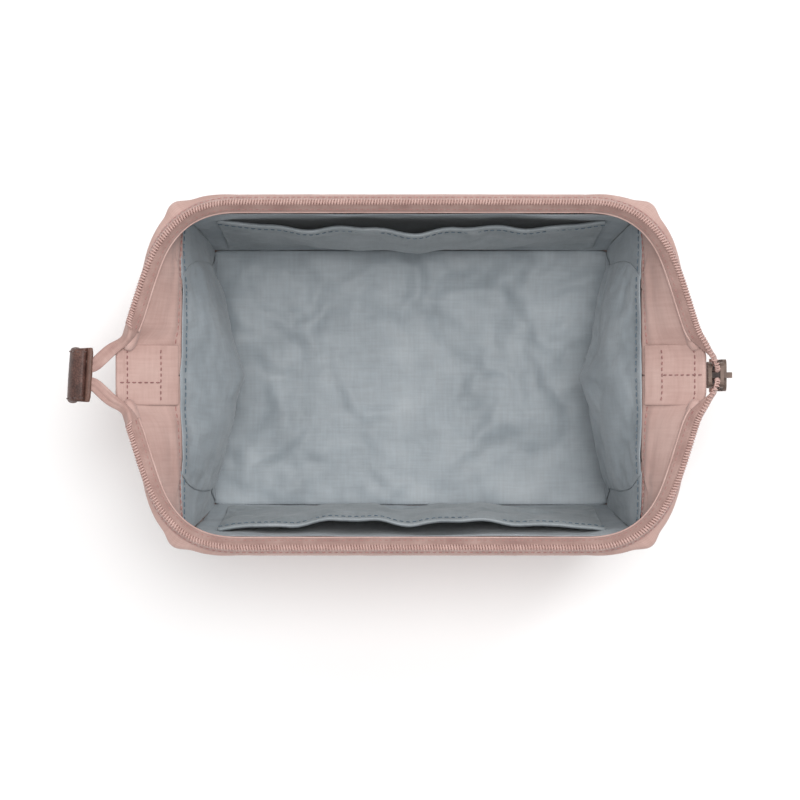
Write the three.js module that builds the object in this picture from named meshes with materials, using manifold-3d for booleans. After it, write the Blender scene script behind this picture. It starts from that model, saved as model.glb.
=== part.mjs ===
// A wide-mouth nursery pouch: a soft box with a zip round its mouth, held open by two U-shaped wires.
// Each wire lies in a sleeve along half of the mouth and turns about the side seams, so the mouth folds shut.
// Millimetres, +Z up. The origin is the middle of the base's underside, +X runs along the mouth towards
// the slider, and -Y is the front.
import * as THREE from "three";
import { mergeVertices } from "three/addons/utils/BufferGeometryUtils.js";
import Module from "manifold-3d";

const wasm = await Module();
wasm.setup();

// Overall sizes.
const MOUTH_LENGTH = 252; // between the two corners of one wire
const MOUTH_DEPTH = 180; // between the two wires' long bars
const RIM_HEIGHT = 160; // of the wires above the floor
const BASE_LENGTH = 236;
const BASE_DEPTH = 156;
const EAR_REACH = 28; // how far each side seam stands out past the wire's corners

// Sheets, layers and gaps.
const FABRIC = 1.4;
const LINING = 0.8;
const PANEL = 1.5; // the base's outer fabric
const BOARD = 2.0;
const GAP = 0.3; // between pieces that touch
const HEM_GAP = 1.5; // between a panel's top edge and what it is sewn to
const LEAN_GAP = 3.4; // under a long wall, which leans in as the mouth folds
const LAYER_GAP = 1.6; // between the outer fabric and its lining

// The wires, their end caps and their sleeves.
const WIRE_RADIUS = 1.75;
const WIRE_BEND = 34; // along each side of a corner
const CAP_WALL = 0.8;
const CAP_LENGTH = 14;
const SLEEVE_WALL = 1.0;
const SLEEVE_ROOM = 0.35; // between a cap and its sleeve
const END_REACH = 3.65; // from the line that a wire turns about to the end of its sleeve

// The zip.
const TAPE_HEIGHT = 5.2;
const TAPE = 0.8;
const COIL_RADIUS = 1.1;
const CHAIN_GAP = 0.3; // between each coil and the middle plane when the mouth is shut

// The side panels' folds and the facing.
const FOLD_DEPTH = 20;
const FACING_DEPTH = 19;
const CORNER_GAP = 3; // between a side panel and a long wall
const WALL_BULGE = 5; // of a long wall's middle

// Inner pockets.
const POCKET_DROP = 48; // from the wires down to the pocket's hem
const POCKET_RISE = 16; // from the floor up to the pocket's sewn bottom
const POCKET_MARGIN = 12; // from the base's ends to the pocket's sewn sides
const POCKET_SWELL = 8.5;
const FRONT_DIVIDER = -20;
const REAR_DIVIDER = 15;
const ELASTIC_HEIGHT = 7;

// The slider, its puller and the leather tab.
const SLIDER_REACH = 6.5; // from the side seam out to the slider's middle
const SLIDER_DROP = 3; // from the wires down to the slider's top
const SLIDER_LENGTH = 18;
const SLIDER_WIDTH = 14;
const SLIDER_PLATE = 1.9;
const CHANNEL = 4.4; // between the two plates
const CHANNEL_SLOT = 1.7; // between the flanges, where the tape passes
const DIAMOND_HALF = 1.6;
const SLIDER_TRAVEL = 12;
const BAIL_THICKNESS = 1.4;
const BAIL_WIDTH = 3;
const BAIL_HEIGHT = 10;
const PULLER_WIDTH = 17;
const PULLER_LENGTH = 32;
const PULLER_THICKNESS = 2;
const PULLER_EYE = 9.5; // from the puller's pin to the far end of its eye
const TAIL_WIDTH = 7.2; // of the tape's folded end
const TAIL_LIFT = 1; // of the tape's ends above the wires' height
const TAB_WIDTH = 29;
const TAB_THICKNESS = 4.4;
const TAB_REACH = 14; // from the side seam out to the tab
const TAB_LENGTH = 14;
const TAB_DROP = 24;
const TAB_GRIP = 9; // how far the tape's ends reach into the tab

// What follows from them.
const MOUTH_HALF = MOUTH_LENGTH / 2;
const DEPTH_HALF = MOUTH_DEPTH / 2;
const BASE_HALF = BASE_LENGTH / 2;
const BASE_DEPTH_HALF = BASE_DEPTH / 2;
const EAR_X = MOUTH_HALF + EAR_REACH;
const SLIDER_X = EAR_X + SLIDER_REACH;
const SLIDER_TOP = RIM_HEIGHT - SLIDER_DROP;
const TAB_INNER_X = EAR_X + TAB_REACH;
const TAB_OUTER_X = TAB_INNER_X + TAB_LENGTH;
const POCKET_TOP = RIM_HEIGHT - POCKET_DROP;
const POCKET_HALF = BASE_HALF - POCKET_MARGIN;
const CAP_RADIUS = WIRE_RADIUS + GAP / 2 + CAP_WALL;
const SLEEVE_INNER = CAP_RADIUS + SLEEVE_ROOM;
const SLEEVE_RADIUS = SLEEVE_INNER + SLEEVE_WALL;
const TAPE_BOTTOM = RIM_HEIGHT + SLEEVE_RADIUS + GAP;
const TAPE_TOP = TAPE_BOTTOM + TAPE_HEIGHT;
const COIL_Z = TAPE_TOP + GAP + COIL_RADIUS;
const COIL_RISE = COIL_Z + COIL_RADIUS - RIM_HEIGHT;
const HINGE_Y = COIL_RISE + CHAIN_GAP; // each wire turns about this line, and then the two coils meet
const SEAM_HALF = HINGE_Y + END_REACH; // from the middle of a side to the end of a sleeve
const FLOOR_TOP = PANEL + GAP + BOARD + GAP + LINING;
const WALL_BOTTOM = FLOOR_TOP + LEAN_GAP;
const WALL_TOP = RIM_HEIGHT - SLEEVE_RADIUS - HEM_GAP;
const FACING_BOTTOM = RIM_HEIGHT - FACING_DEPTH;
const INSIDE = FABRIC + LAYER_GAP; // from the outer face to a lining's outer face
const TAIL_BOTTOM = RIM_HEIGHT + TAIL_LIFT;
const TAIL_TOP = TAIL_BOTTOM + TAPE;
const TAIL_FOOT = SLIDER_TOP - SLIDER_LENGTH - SLIDER_TRAVEL - 2;

const PINK = 0xb98d86;
const GREY = 0x8f979c;
const LEATHER = 0x5b3f38;
const BRONZE = 0x4b3a36;
const STEEL = 0x9a9a98;
const cloth = (colour) => new THREE.MeshStandardMaterial({ color: colour, roughness: 0.8, metalness: 0 });
const metal = (colour) => new THREE.MeshStandardMaterial({ color: colour, roughness: 0.35, metalness: 1 });

const group = new THREE.Group();

function addPiece(name, geometry, material) {
  const mesh = new THREE.Mesh(geometry, material);
  mesh.name = name;
  group.add(mesh);
  return mesh;
}

// A three.js geometry as a manifold-3d solid.
function toSolid(geometry) {
  const bare = geometry.index ? geometry.toNonIndexed() : geometry.clone();
  bare.deleteAttribute("normal");
  bare.deleteAttribute("uv");
  const merged = mergeVertices(bare, 1e-4);
  return new wasm.Manifold(new wasm.Mesh({
    numProp: 3,
    vertProperties: new Float32Array(merged.attributes.position.array),
    triVerts: new Uint32Array(merged.index.array),
  }));
}

function toGeometry(solid) {
  const mesh = solid.getMesh();
  const geometry = new THREE.BufferGeometry();
  geometry.setAttribute("position", new THREE.BufferAttribute(mesh.vertProperties, 3));
  geometry.setIndex(new THREE.BufferAttribute(mesh.triVerts, 1));
  geometry.computeVertexNormals();
  return geometry;
}

const joined = (...geometries) => toGeometry(geometries.map(toSolid).reduce((all, next) => all.add(next)));

function boxBetween(low, high) {
  const size = high.map((value, axis) => value - low[axis]);
  const middle = high.map((value, axis) => (value + low[axis]) / 2);
  return new THREE.BoxGeometry(...size).translate(...middle);
}

// A thin closed solid: pointAt(u, v) is its outer face and it is thickened inwards, against du x dv.
function sheetGeometry(pointAt, columns, rows, thickness) {
  const step = 1e-3;
  const outer = [];
  const inner = [];
  for (let j = 0; j <= rows; j++) {
    for (let i = 0; i <= columns; i++) {
      const u = i / columns;
      const v = j / rows;
      const point = pointAt(u, v);
      const along = pointAt(u + step, v).sub(pointAt(u - step, v));
      const up = pointAt(u, v + step).sub(pointAt(u, v - step));
      const normal = along.cross(up).normalize();
      outer.push(point);
      inner.push(point.clone().addScaledVector(normal, -thickness));
    }
  }
  const count = outer.length;
  const at = (i, j) => j * (columns + 1) + i;
  const index = [];
  const quad = (a, b, c, d) => index.push(a, b, c, a, c, d);
  for (let j = 0; j < rows; j++) {
    for (let i = 0; i < columns; i++) {
      quad(at(i, j), at(i + 1, j), at(i + 1, j + 1), at(i, j + 1));
      quad(count + at(i, j), count + at(i, j + 1), count + at(i + 1, j + 1), count + at(i + 1, j));
    }
  }
  for (let i = 0; i < columns; i++) {
    quad(at(i, 0), count + at(i, 0), count + at(i + 1, 0), at(i + 1, 0));
    quad(at(i + 1, rows), count + at(i + 1, rows), count + at(i, rows), at(i, rows));
  }
  for (let j = 0; j < rows; j++) {
    quad(at(0, j + 1), count + at(0, j + 1), count + at(0, j), at(0, j));
    quad(at(columns, j), count + at(columns, j), count + at(columns, j + 1), at(columns, j + 1));
  }
  const geometry = new THREE.BufferGeometry();
  geometry.setAttribute("position", new THREE.Float32BufferAttribute([...outer, ...inner].flatMap((p) => p.toArray()), 3));
  geometry.setIndex(index);
  geometry.computeVertexNormals();
  return geometry;
}

// --- The body's surfaces ---

const lerp = THREE.MathUtils.lerp;

// Half of the body's depth at height z, on the outer face of its long walls' edges.
const edgeY = (z) => lerp(BASE_DEPTH_HALF, DEPTH_HALF, z / RIM_HEIGHT);

// Half of the body's length at height z, where a side panel meets a long wall.
const edgeX = (z) => lerp(BASE_HALF, MOUTH_HALF, z / RIM_HEIGHT);

// A side panel's outer face: pressed in below the facing, and flaring out to the side seam above it.
function sideX(y, z) {
  const tent = 1 - Math.min(1, Math.abs(y) / edgeY(z));
  const share = z / FACING_BOTTOM;
  const pressed = -FOLD_DEPTH * Math.sin(Math.PI * Math.min(1, share)) ** 2;
  const flared = EAR_REACH * Math.max(0, (z - FACING_BOTTOM) / FACING_DEPTH);
  return edgeX(z) + (pressed + flared) * tent;
}

// --- The base ---

function baseSlab(inset, bottom, thickness) {
  const x = BASE_HALF - inset;
  const y = BASE_DEPTH_HALF - inset;
  const r = 12;
  const outline = new THREE.Shape();
  outline.moveTo(-x + r, -y);
  outline.lineTo(x - r, -y);
  outline.absarc(x - r, -y + r, r, -Math.PI / 2, 0);
  outline.lineTo(x, y - r);
  outline.absarc(x - r, y - r, r, 0, Math.PI / 2);
  outline.lineTo(-x + r, y);
  outline.absarc(-x + r, y - r, r, Math.PI / 2, Math.PI);
  outline.lineTo(-x, -y + r);
  outline.absarc(-x + r, -y + r, r, Math.PI, 1.5 * Math.PI);
  const slab = new THREE.ExtrudeGeometry(outline, { depth: thickness, bevelEnabled: false, curveSegments: 5 });
  return slab.translate(0, 0, bottom);
}

function addBase() {
  const boardBottom = PANEL + GAP;
  const liningBottom = boardBottom + BOARD + GAP;
  addPiece("base_panel", baseSlab(0, 0, PANEL), cloth(PINK));
  addPiece("base_board", baseSlab(FABRIC + LAYER_GAP, boardBottom, BOARD), cloth(0x777777));
  addPiece("base_lining", baseSlab(FABRIC + LAYER_GAP, liningBottom, LINING), cloth(GREY));
}

// --- Side panels, which crumple as the mouth folds ---

// side is -1 for the left and 1 for the right; depth is how far inside the outer face it lies.
function sidePanel(side, depth, thickness, top) {
  return sheetGeometry((u, v) => {
    const across = side * lerp(-1, 1, u);
    const z = lerp(WALL_BOTTOM, top, v);
    const y = across * (edgeY(z) - CORNER_GAP - depth);
    return new THREE.Vector3(side * (sideX(y, z) - depth), y, z);
  }, 12, 9, thickness);
}

function addSidePanels() {
  for (const [name, side] of [["left", -1], ["right", 1]]) {
    addPiece(`${name}_side_panel`, sidePanel(side, 0, FABRIC, WALL_TOP), cloth(PINK));
    addPiece(`${name}_side_lining`, sidePanel(side, INSIDE, LINING, FACING_BOTTOM - HEM_GAP), cloth(GREY));
  }
}

// --- Long walls, with their linings and pockets ---

// The long wall's outer face, as a distance from the middle plane.
function wallY(x, z) {
  const rise = Math.sin(Math.PI * z / RIM_HEIGHT);
  const middle = 1 - 0.6 * (x / BASE_HALF) ** 2;
  return edgeY(z) + WALL_BULGE * rise * middle;
}

// A wall's top corners are cut away under the wire's bends, which drop past them as the mouth folds.
function wallTop(x) {
  const past = Math.max(0, Math.abs(x) - MOUTH_HALF + WIRE_BEND);
  return WALL_TOP - past ** 2 / (2 * WIRE_BEND);
}

// depthSide is -1 for the front and 1 for the rear; depth is how far inside the outer face it lies.
function wallSheet(depthSide, depth, thickness, half, bottom, topAt, swellAt, columns) {
  return sheetGeometry((u, v) => {
    const share = -depthSide * lerp(-1, 1, u);
    const z = lerp(bottom, topAt(share * half(WALL_TOP)), v);
    const x = share * half(z);
    return new THREE.Vector3(x, depthSide * (wallY(x, z) - depth - swellAt(x, v)), z);
  }, columns, 8, thickness);
}

function addWall(name, depthSide, divider) {
  const flat = () => 0;
  const half = (z) => edgeX(z) - CORNER_GAP - LAYER_GAP;
  const liningHalf = (z) => half(z) - INSIDE;
  const wall = wallSheet(depthSide, 0, FABRIC, half, WALL_BOTTOM, wallTop, flat, 16);
  addPiece(`${name}_wall`, wall, cloth(PINK));
  const lining = wallSheet(depthSide, INSIDE, LINING, liningHalf, WALL_BOTTOM, wallTop, flat, 16);
  addPiece(`${name}_lining`, lining, cloth(GREY));

  // A pocket stands off its lining between its sewn sides, its sewn bottom and its divider.
  const pocketDepth = INSIDE + LINING + GAP;
  const pocketHalf = () => POCKET_HALF;
  const pocketTop = () => POCKET_TOP;
  const swell = (x, v) => {
    const near = x < divider ? -POCKET_HALF : POCKET_HALF;
    const share = THREE.MathUtils.clamp((x - near) / (divider - near), 0, 1);
    return POCKET_SWELL * Math.sin(Math.PI * share) ** 0.6 * Math.min(1, v * 2.5);
  };
  const pocket = wallSheet(depthSide, pocketDepth, LINING, pocketHalf, POCKET_RISE, pocketTop, swell, 24);
  addPiece(`${name}_pocket`, pocket, cloth(GREY));
  const band = wallSheet(
    depthSide, pocketDepth + LINING + GAP, LINING, pocketHalf,
    POCKET_TOP - ELASTIC_HEIGHT, pocketTop, (x) => swell(x, 1), 24,
  );
  addPiece(`${name}_pocket_elastic`, band, cloth(GREY));
}

// --- The wires' half of the mouth ---

// The line that a wire follows in plan, from the left side seam round to the right one.
function mouthPath(depthSide, z) {
  const corner = (side) => new THREE.Vector3(side * MOUTH_HALF, depthSide * DEPTH_HALF, z);
  const end = (side) => new THREE.Vector3(side * legX(SEAM_HALF), depthSide * SEAM_HALF, z);
  const towards = (from, to) => from.clone().addScaledVector(to.clone().sub(from).normalize(), WIRE_BEND);
  const [left, right] = [corner(-1), corner(1)];
  const path = new THREE.CurvePath();
  path.add(new THREE.LineCurve3(end(-1), towards(left, end(-1))));
  path.add(new THREE.QuadraticBezierCurve3(towards(left, end(-1)), left, towards(left, right)));
  path.add(new THREE.LineCurve3(towards(left, right), towards(right, left)));
  path.add(new THREE.QuadraticBezierCurve3(towards(right, left), right, towards(right, end(1))));
  path.add(new THREE.LineCurve3(towards(right, end(1)), end(1)));
  return path;
}

// How far out a wire's leg is at |y|.
function legX(y) {
  return lerp(EAR_X, MOUTH_HALF, y / DEPTH_HALF);
}

const circle = (radius) => new THREE.Shape().absarc(0, 0, radius, 0, 2 * Math.PI);

function alongPath(shape, path, steps, sides) {
  return new THREE.ExtrudeGeometry(shape, { extrudePath: path, steps, curveSegments: sides, bevelEnabled: false });
}

// The zip's tape stands on edge along the path.
function standingTape(path, columns) {
  return sheetGeometry((u, v) => {
    const point = path.getPoint(THREE.MathUtils.clamp(u, 0, 1));
    return point.setZ(lerp(TAPE_BOTTOM, TAPE_TOP, v));
  }, columns, 1, TAPE);
}

// A cap pushed over a wire's end, closed at its outer end.
function wireCap(depthSide, side) {
  const bore = WIRE_RADIUS + GAP / 2;
  const wall = [[0, 0], [CAP_RADIUS, 0], [CAP_RADIUS, CAP_LENGTH], [bore, CAP_LENGTH], [bore, CAP_WALL + GAP], [0, CAP_WALL + GAP]];
  const cap = new THREE.LatheGeometry(wall.map(([r, h]) => new THREE.Vector2(r, h)), 10);
  const along = new THREE.Vector3(-side * EAR_REACH / DEPTH_HALF, depthSide, 0).normalize();
  const turn = new THREE.Quaternion().setFromUnitVectors(new THREE.Vector3(0, 1, 0), along);
  const end = new THREE.Vector3(side * legX(SEAM_HALF), depthSide * SEAM_HALF, RIM_HEIGHT);
  end.addScaledVector(along, -CAP_WALL - 2 * GAP);
  return cap.applyQuaternion(turn).translate(end.x, end.y, end.z);
}

// The facing beside a wire's leg: it lines the side panel from its top edge down to the side lining.
function facingFlap(depthSide, side) {
  const near = SEAM_HALF - SLEEVE_RADIUS;
  const far = DEPTH_HALF - CORNER_GAP - INSIDE;
  const turn = side * depthSide;
  return sheetGeometry((u, v) => {
    const y = lerp(near, far, turn > 0 ? u : 1 - u);
    const z = lerp(FACING_BOTTOM, WALL_TOP, v);
    return new THREE.Vector3(side * (sideX(y, z) - INSIDE), depthSide * y, z);
  }, 8, 2, FABRIC);
}

function addMouthHalf(name, depthSide) {
  const steps = 44;
  const sleeve = circle(SLEEVE_RADIUS);
  sleeve.holes.push(new THREE.Path().absarc(0, 0, SLEEVE_INNER, 0, 2 * Math.PI, true));
  addPiece(`${name}_frame_wire`, alongPath(circle(WIRE_RADIUS), mouthPath(depthSide, RIM_HEIGHT), steps, 8), metal(STEEL));
  addPiece(`${name}_wire_sleeve`, alongPath(sleeve, mouthPath(depthSide, RIM_HEIGHT), steps, 8), cloth(PINK));
  addPiece(`${name}_left_wire_cap`, wireCap(depthSide, -1), cloth(0x333333));
  addPiece(`${name}_right_wire_cap`, wireCap(depthSide, 1), cloth(0x333333));
  addPiece(`${name}_zip_tape`, standingTape(mouthPath(depthSide, 0), steps), cloth(PINK));
  addPiece(`${name}_zip_coil`, alongPath(circle(COIL_RADIUS), mouthPath(depthSide, COIL_Z), steps, 6), cloth(PINK));
  for (const [sideName, side] of [["left", -1], ["right", 1]]) {
    addPiece(`${name}_${sideName}_facing`, facingFlap(depthSide, side), cloth(PINK));
  }
}

// --- Side seams, where the wires end and the zip's ends are sewn down ---

function seamPatch(side) {
  const half = SEAM_HALF - SLEEVE_RADIUS - HEM_GAP;
  return sheetGeometry((u, v) => {
    const y = side * lerp(-half, half, u);
    const z = lerp(FACING_BOTTOM, RIM_HEIGHT, v);
    return new THREE.Vector3(side * (sideX(y, z) - INSIDE), y, z);
  }, 4, 3, FABRIC);
}

// The tape's left end runs out flat from above the side seam to the leather tab.
function leftTapeTail(depthSide) {
  const half = TAIL_WIDTH / 2;
  const [seamX, seamY] = [-EAR_X + INSIDE, depthSide * (HINGE_Y - HEM_GAP)];
  const [tabX, tabY] = [-TAB_INNER_X - TAB_GRIP, depthSide * (half + GAP)];
  const outline = new THREE.Shape();
  outline.moveTo(seamX, seamY - half);
  outline.lineTo(seamX, seamY + half);
  outline.lineTo(tabX, tabY + half);
  outline.lineTo(tabX, tabY - half);
  outline.closePath();
  const ribbon = new THREE.ExtrudeGeometry(outline, { depth: TAPE, bevelEnabled: false });
  return ribbon.translate(0, 0, TAIL_BOTTOM);
}

// The tape's right end runs out flat, then turns down through the slider.
function rightTapeTail(depthSide) {
  const near = DIAMOND_HALF + GAP;
  const bend = 4;
  const outer = SLIDER_X + TAPE / 2;
  const inner = SLIDER_X - TAPE / 2;
  const outline = new THREE.Shape();
  outline.moveTo(EAR_X - INSIDE, TAIL_BOTTOM);
  outline.lineTo(inner - bend, TAIL_BOTTOM);
  outline.quadraticCurveTo(inner, TAIL_BOTTOM, inner, TAIL_BOTTOM - bend);
  outline.lineTo(inner, TAIL_FOOT);
  outline.lineTo(outer, TAIL_FOOT);
  outline.lineTo(outer, TAIL_BOTTOM - bend);
  outline.quadraticCurveTo(outer, TAIL_TOP, inner - bend, TAIL_TOP);
  outline.lineTo(EAR_X - INSIDE, TAIL_TOP);
  outline.closePath();
  const strip = new THREE.ExtrudeGeometry(outline, { depth: TAIL_WIDTH, bevelEnabled: false, curveSegments: 5 });
  return strip.rotateX(Math.PI / 2).translate(0, depthSide > 0 ? near + TAIL_WIDTH : -near, 0);
}

// A leather strip that droops outwards and is slit where it holds the two tape ends.
function leatherTab() {
  const mouth = (TAIL_BOTTOM + TAIL_TOP) / 2;
  const half = TAB_THICKNESS / 2;
  const slit = TAPE / 2 + GAP;
  const slitEnd = -TAB_INNER_X - TAB_GRIP - 2 * GAP;
  const outline = new THREE.Shape();
  outline.moveTo(-TAB_INNER_X, mouth + half);
  outline.lineTo(slitEnd, mouth + half);
  outline.quadraticCurveTo(-TAB_OUTER_X, mouth + half, -TAB_OUTER_X, mouth - half * 2);
  outline.lineTo(-TAB_OUTER_X, mouth - TAB_DROP);
  outline.lineTo(-TAB_OUTER_X + TAB_THICKNESS, mouth - TAB_DROP);
  outline.lineTo(-TAB_OUTER_X + TAB_THICKNESS, mouth - half * 2);
  outline.lineTo(slitEnd + GAP, mouth - half);
  outline.lineTo(-TAB_INNER_X, mouth - half);
  outline.lineTo(-TAB_INNER_X, mouth - slit);
  outline.lineTo(slitEnd, mouth - slit);
  outline.lineTo(slitEnd, mouth + slit);
  outline.lineTo(-TAB_INNER_X, mouth + slit);
  outline.closePath();
  const strip = new THREE.ExtrudeGeometry(outline, { depth: TAB_WIDTH, bevelEnabled: false, curveSegments: 6 });
  return strip.rotateX(Math.PI / 2).translate(0, TAB_WIDTH / 2, 0);
}

function addSideSeams() {
  addPiece("left_seam_patch", seamPatch(-1), cloth(PINK));
  addPiece("right_seam_patch", seamPatch(1), cloth(PINK));
  for (const [name, depthSide] of [["front", -1], ["rear", 1]]) {
    addPiece(`${name}_left_tape_end`, leftTapeTail(depthSide), cloth(PINK));
    addPiece(`${name}_right_tape_end`, rightTapeTail(depthSide), cloth(PINK));
  }
  addPiece("leather_end_tab", leatherTab(), cloth(LEATHER));
  const stopTop = TAIL_FOOT - GAP;
  const stop = boxBetween([SLIDER_X - CHANNEL / 2, -4, stopTop - 3], [SLIDER_X + CHANNEL / 2, 4, stopTop]);
  addPiece("zip_bottom_stop", stop, metal(BRONZE));
}

// --- The slider and its puller ---

// Turns an extrusion so that its outline's x runs along Y, its y along Z and its depth along X.
const standUp = new THREE.Matrix4().makeBasis(
  new THREE.Vector3(0, 1, 0), new THREE.Vector3(0, 0, 1), new THREE.Vector3(1, 0, 0),
);

// Where the puller's pin turns.
const PIN_ROOM = PULLER_THICKNESS / 2 * Math.SQRT2 + GAP;
const PULLER_X = SLIDER_X + CHANNEL / 2 + SLIDER_PLATE + PIN_ROOM;
const PULLER_Z = SLIDER_TOP - SLIDER_LENGTH * 0.6;

// One plate of the slider, flat on X, wide at its mouth and narrower at its foot.
function sliderPlate(x) {
  const shoulder = SLIDER_WIDTH / 2;
  const foot = shoulder - 2.2;
  const outline = new THREE.Shape();
  outline.moveTo(-foot, 0);
  outline.lineTo(foot, 0);
  outline.quadraticCurveTo(shoulder, SLIDER_LENGTH * 0.35, shoulder, SLIDER_LENGTH * 0.7);
  outline.quadraticCurveTo(shoulder, SLIDER_LENGTH, shoulder * 0.55, SLIDER_LENGTH);
  outline.lineTo(-shoulder * 0.55, SLIDER_LENGTH);
  outline.quadraticCurveTo(-shoulder, SLIDER_LENGTH, -shoulder, SLIDER_LENGTH * 0.7);
  outline.quadraticCurveTo(-shoulder, SLIDER_LENGTH * 0.35, -foot, 0);
  const plate = new THREE.ExtrudeGeometry(outline, { depth: SLIDER_PLATE, bevelEnabled: false, curveSegments: 5 });
  return plate.applyMatrix4(standUp).translate(x, 0, SLIDER_TOP - SLIDER_LENGTH);
}

function sliderBody() {
  const inner = SLIDER_X - CHANNEL / 2;
  const outer = SLIDER_X + CHANNEL / 2;
  const foot = SLIDER_TOP - SLIDER_LENGTH;
  const flangeReach = (CHANNEL - CHANNEL_SLOT) / 2;
  const edge = SLIDER_WIDTH / 2;
  const parts = [sliderPlate(inner - SLIDER_PLATE), sliderPlate(outer)];
  parts.push(boxBetween(
    [inner - 0.5, -DIAMOND_HALF, foot + SLIDER_LENGTH * 0.6], [outer + 0.5, DIAMOND_HALF, SLIDER_TOP - 1],
  ));
  for (const side of [-1, 1]) {
    const low = side < 0 ? -edge + 1.2 : edge - 2.6;
    const range = [low, low + 1.4];
    const zRange = [foot + SLIDER_LENGTH * 0.12, foot + SLIDER_LENGTH * 0.5];
    parts.push(boxBetween([inner - 0.5, range[0], zRange[0]], [inner + flangeReach, range[1], zRange[1]]));
    parts.push(boxBetween([outer - flangeReach, range[0], zRange[0]], [outer + 0.5, range[1], zRange[1]]));
  }
  const face = outer + SLIDER_PLATE;
  const reach = PULLER_X + PIN_ROOM + BAIL_THICKNESS;
  const low = PULLER_Z - PIN_ROOM - BAIL_THICKNESS;
  const high = low + BAIL_HEIGHT;
  const half = BAIL_WIDTH / 2;
  parts.push(boxBetween([face - 0.5, -half, high - BAIL_THICKNESS], [reach, half, high]));
  parts.push(boxBetween([face - 0.5, -half, low], [reach, half, low + BAIL_THICKNESS]));
  parts.push(boxBetween([reach - BAIL_THICKNESS, -half, low], [reach, half, high]));
  return joined(...parts);
}

// The puller hangs with its top bar, the pin, on the bail's lower leg.
function puller() {
  const half = PULLER_WIDTH / 2;
  const pinHalf = PULLER_THICKNESS / 2;
  const foot = pinHalf - PULLER_LENGTH;
  const r = 4;
  const outline = new THREE.Shape();
  outline.moveTo(half - r, pinHalf);
  outline.lineTo(-half + r, pinHalf);
  outline.absarc(-half + r, pinHalf - r, r, Math.PI / 2, Math.PI);
  outline.absarc(-half + r, foot + r, r, Math.PI, 1.5 * Math.PI);
  outline.absarc(half - r, foot + r, r, 1.5 * Math.PI, 2 * Math.PI);
  outline.absarc(half - r, pinHalf - r, r, 0, Math.PI / 2);
  const eyeHalf = BAIL_WIDTH / 2 + 2 * GAP;
  const eye = new THREE.Path();
  eye.moveTo(-eyeHalf, -pinHalf);
  eye.lineTo(eyeHalf, -pinHalf);
  eye.lineTo(eyeHalf, -PULLER_EYE);
  eye.lineTo(-eyeHalf, -PULLER_EYE);
  eye.closePath();
  outline.holes.push(eye);
  const plate = new THREE.ExtrudeGeometry(outline, { depth: PULLER_THICKNESS, bevelEnabled: false, curveSegments: 4 });
  return plate.applyMatrix4(standUp).translate(PULLER_X - pinHalf, 0, PULLER_Z);
}

addBase();
addSidePanels();
addWall("front", -1, FRONT_DIVIDER);
addWall("rear", 1, REAR_DIVIDER);
addMouthHalf("front", -1);
addMouthHalf("rear", 1);
addSideSeams();
addPiece("zip_slider", sliderBody(), metal(BRONZE));
addPiece("zip_puller", puller(), cloth(LEATHER));

export default group;
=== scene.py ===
import math

import bpy
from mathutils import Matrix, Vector, noise


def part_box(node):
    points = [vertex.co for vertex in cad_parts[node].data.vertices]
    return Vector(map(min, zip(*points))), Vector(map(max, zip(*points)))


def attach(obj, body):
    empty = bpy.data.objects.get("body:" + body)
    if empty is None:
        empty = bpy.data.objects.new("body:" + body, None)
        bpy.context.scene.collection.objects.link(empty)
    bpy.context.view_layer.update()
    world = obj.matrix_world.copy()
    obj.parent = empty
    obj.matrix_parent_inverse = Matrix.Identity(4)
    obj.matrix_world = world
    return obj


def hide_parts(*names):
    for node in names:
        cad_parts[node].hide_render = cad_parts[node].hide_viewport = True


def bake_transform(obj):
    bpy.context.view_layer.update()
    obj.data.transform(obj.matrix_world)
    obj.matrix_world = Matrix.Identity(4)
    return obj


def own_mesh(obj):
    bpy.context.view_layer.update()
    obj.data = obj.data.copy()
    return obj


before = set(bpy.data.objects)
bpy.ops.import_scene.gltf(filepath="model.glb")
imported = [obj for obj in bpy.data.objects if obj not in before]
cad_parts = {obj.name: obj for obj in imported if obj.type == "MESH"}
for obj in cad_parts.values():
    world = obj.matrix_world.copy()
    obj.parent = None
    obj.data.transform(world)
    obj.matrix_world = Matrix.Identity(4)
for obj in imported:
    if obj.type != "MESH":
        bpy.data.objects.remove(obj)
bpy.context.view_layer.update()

# Lengths are in millimetres until a mesh is made.
MM = 0.001


def box_mm(node):
    low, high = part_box(node)
    return Vector(low) / MM, Vector(high) / MM


# Places read from the frame
WIRE_LOW, WIRE_HIGH = box_mm("front_frame_wire")
PANEL_LOW, PANEL_HIGH = box_mm("base_panel")
_, LINING_HIGH = box_mm("base_lining")
TAB_LOW, TAB_HIGH = box_mm("leather_end_tab")
SLIDER_LOW, SLIDER_HIGH = box_mm("zip_slider")
STOP_LOW, _ = box_mm("zip_bottom_stop")
POCKET_LOW, POCKET_HIGH = box_mm("front_pocket")
_, COIL_HIGH = box_mm("front_zip_coil")

WIRE_RADIUS = (WIRE_HIGH.z - WIRE_LOW.z) / 2
RIM_Z = (WIRE_HIGH.z + WIRE_LOW.z) / 2
FLOOR_Z = LINING_HIGH.z
BASE_X, BASE_Y = PANEL_HIGH.x, PANEL_HIGH.y

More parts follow.
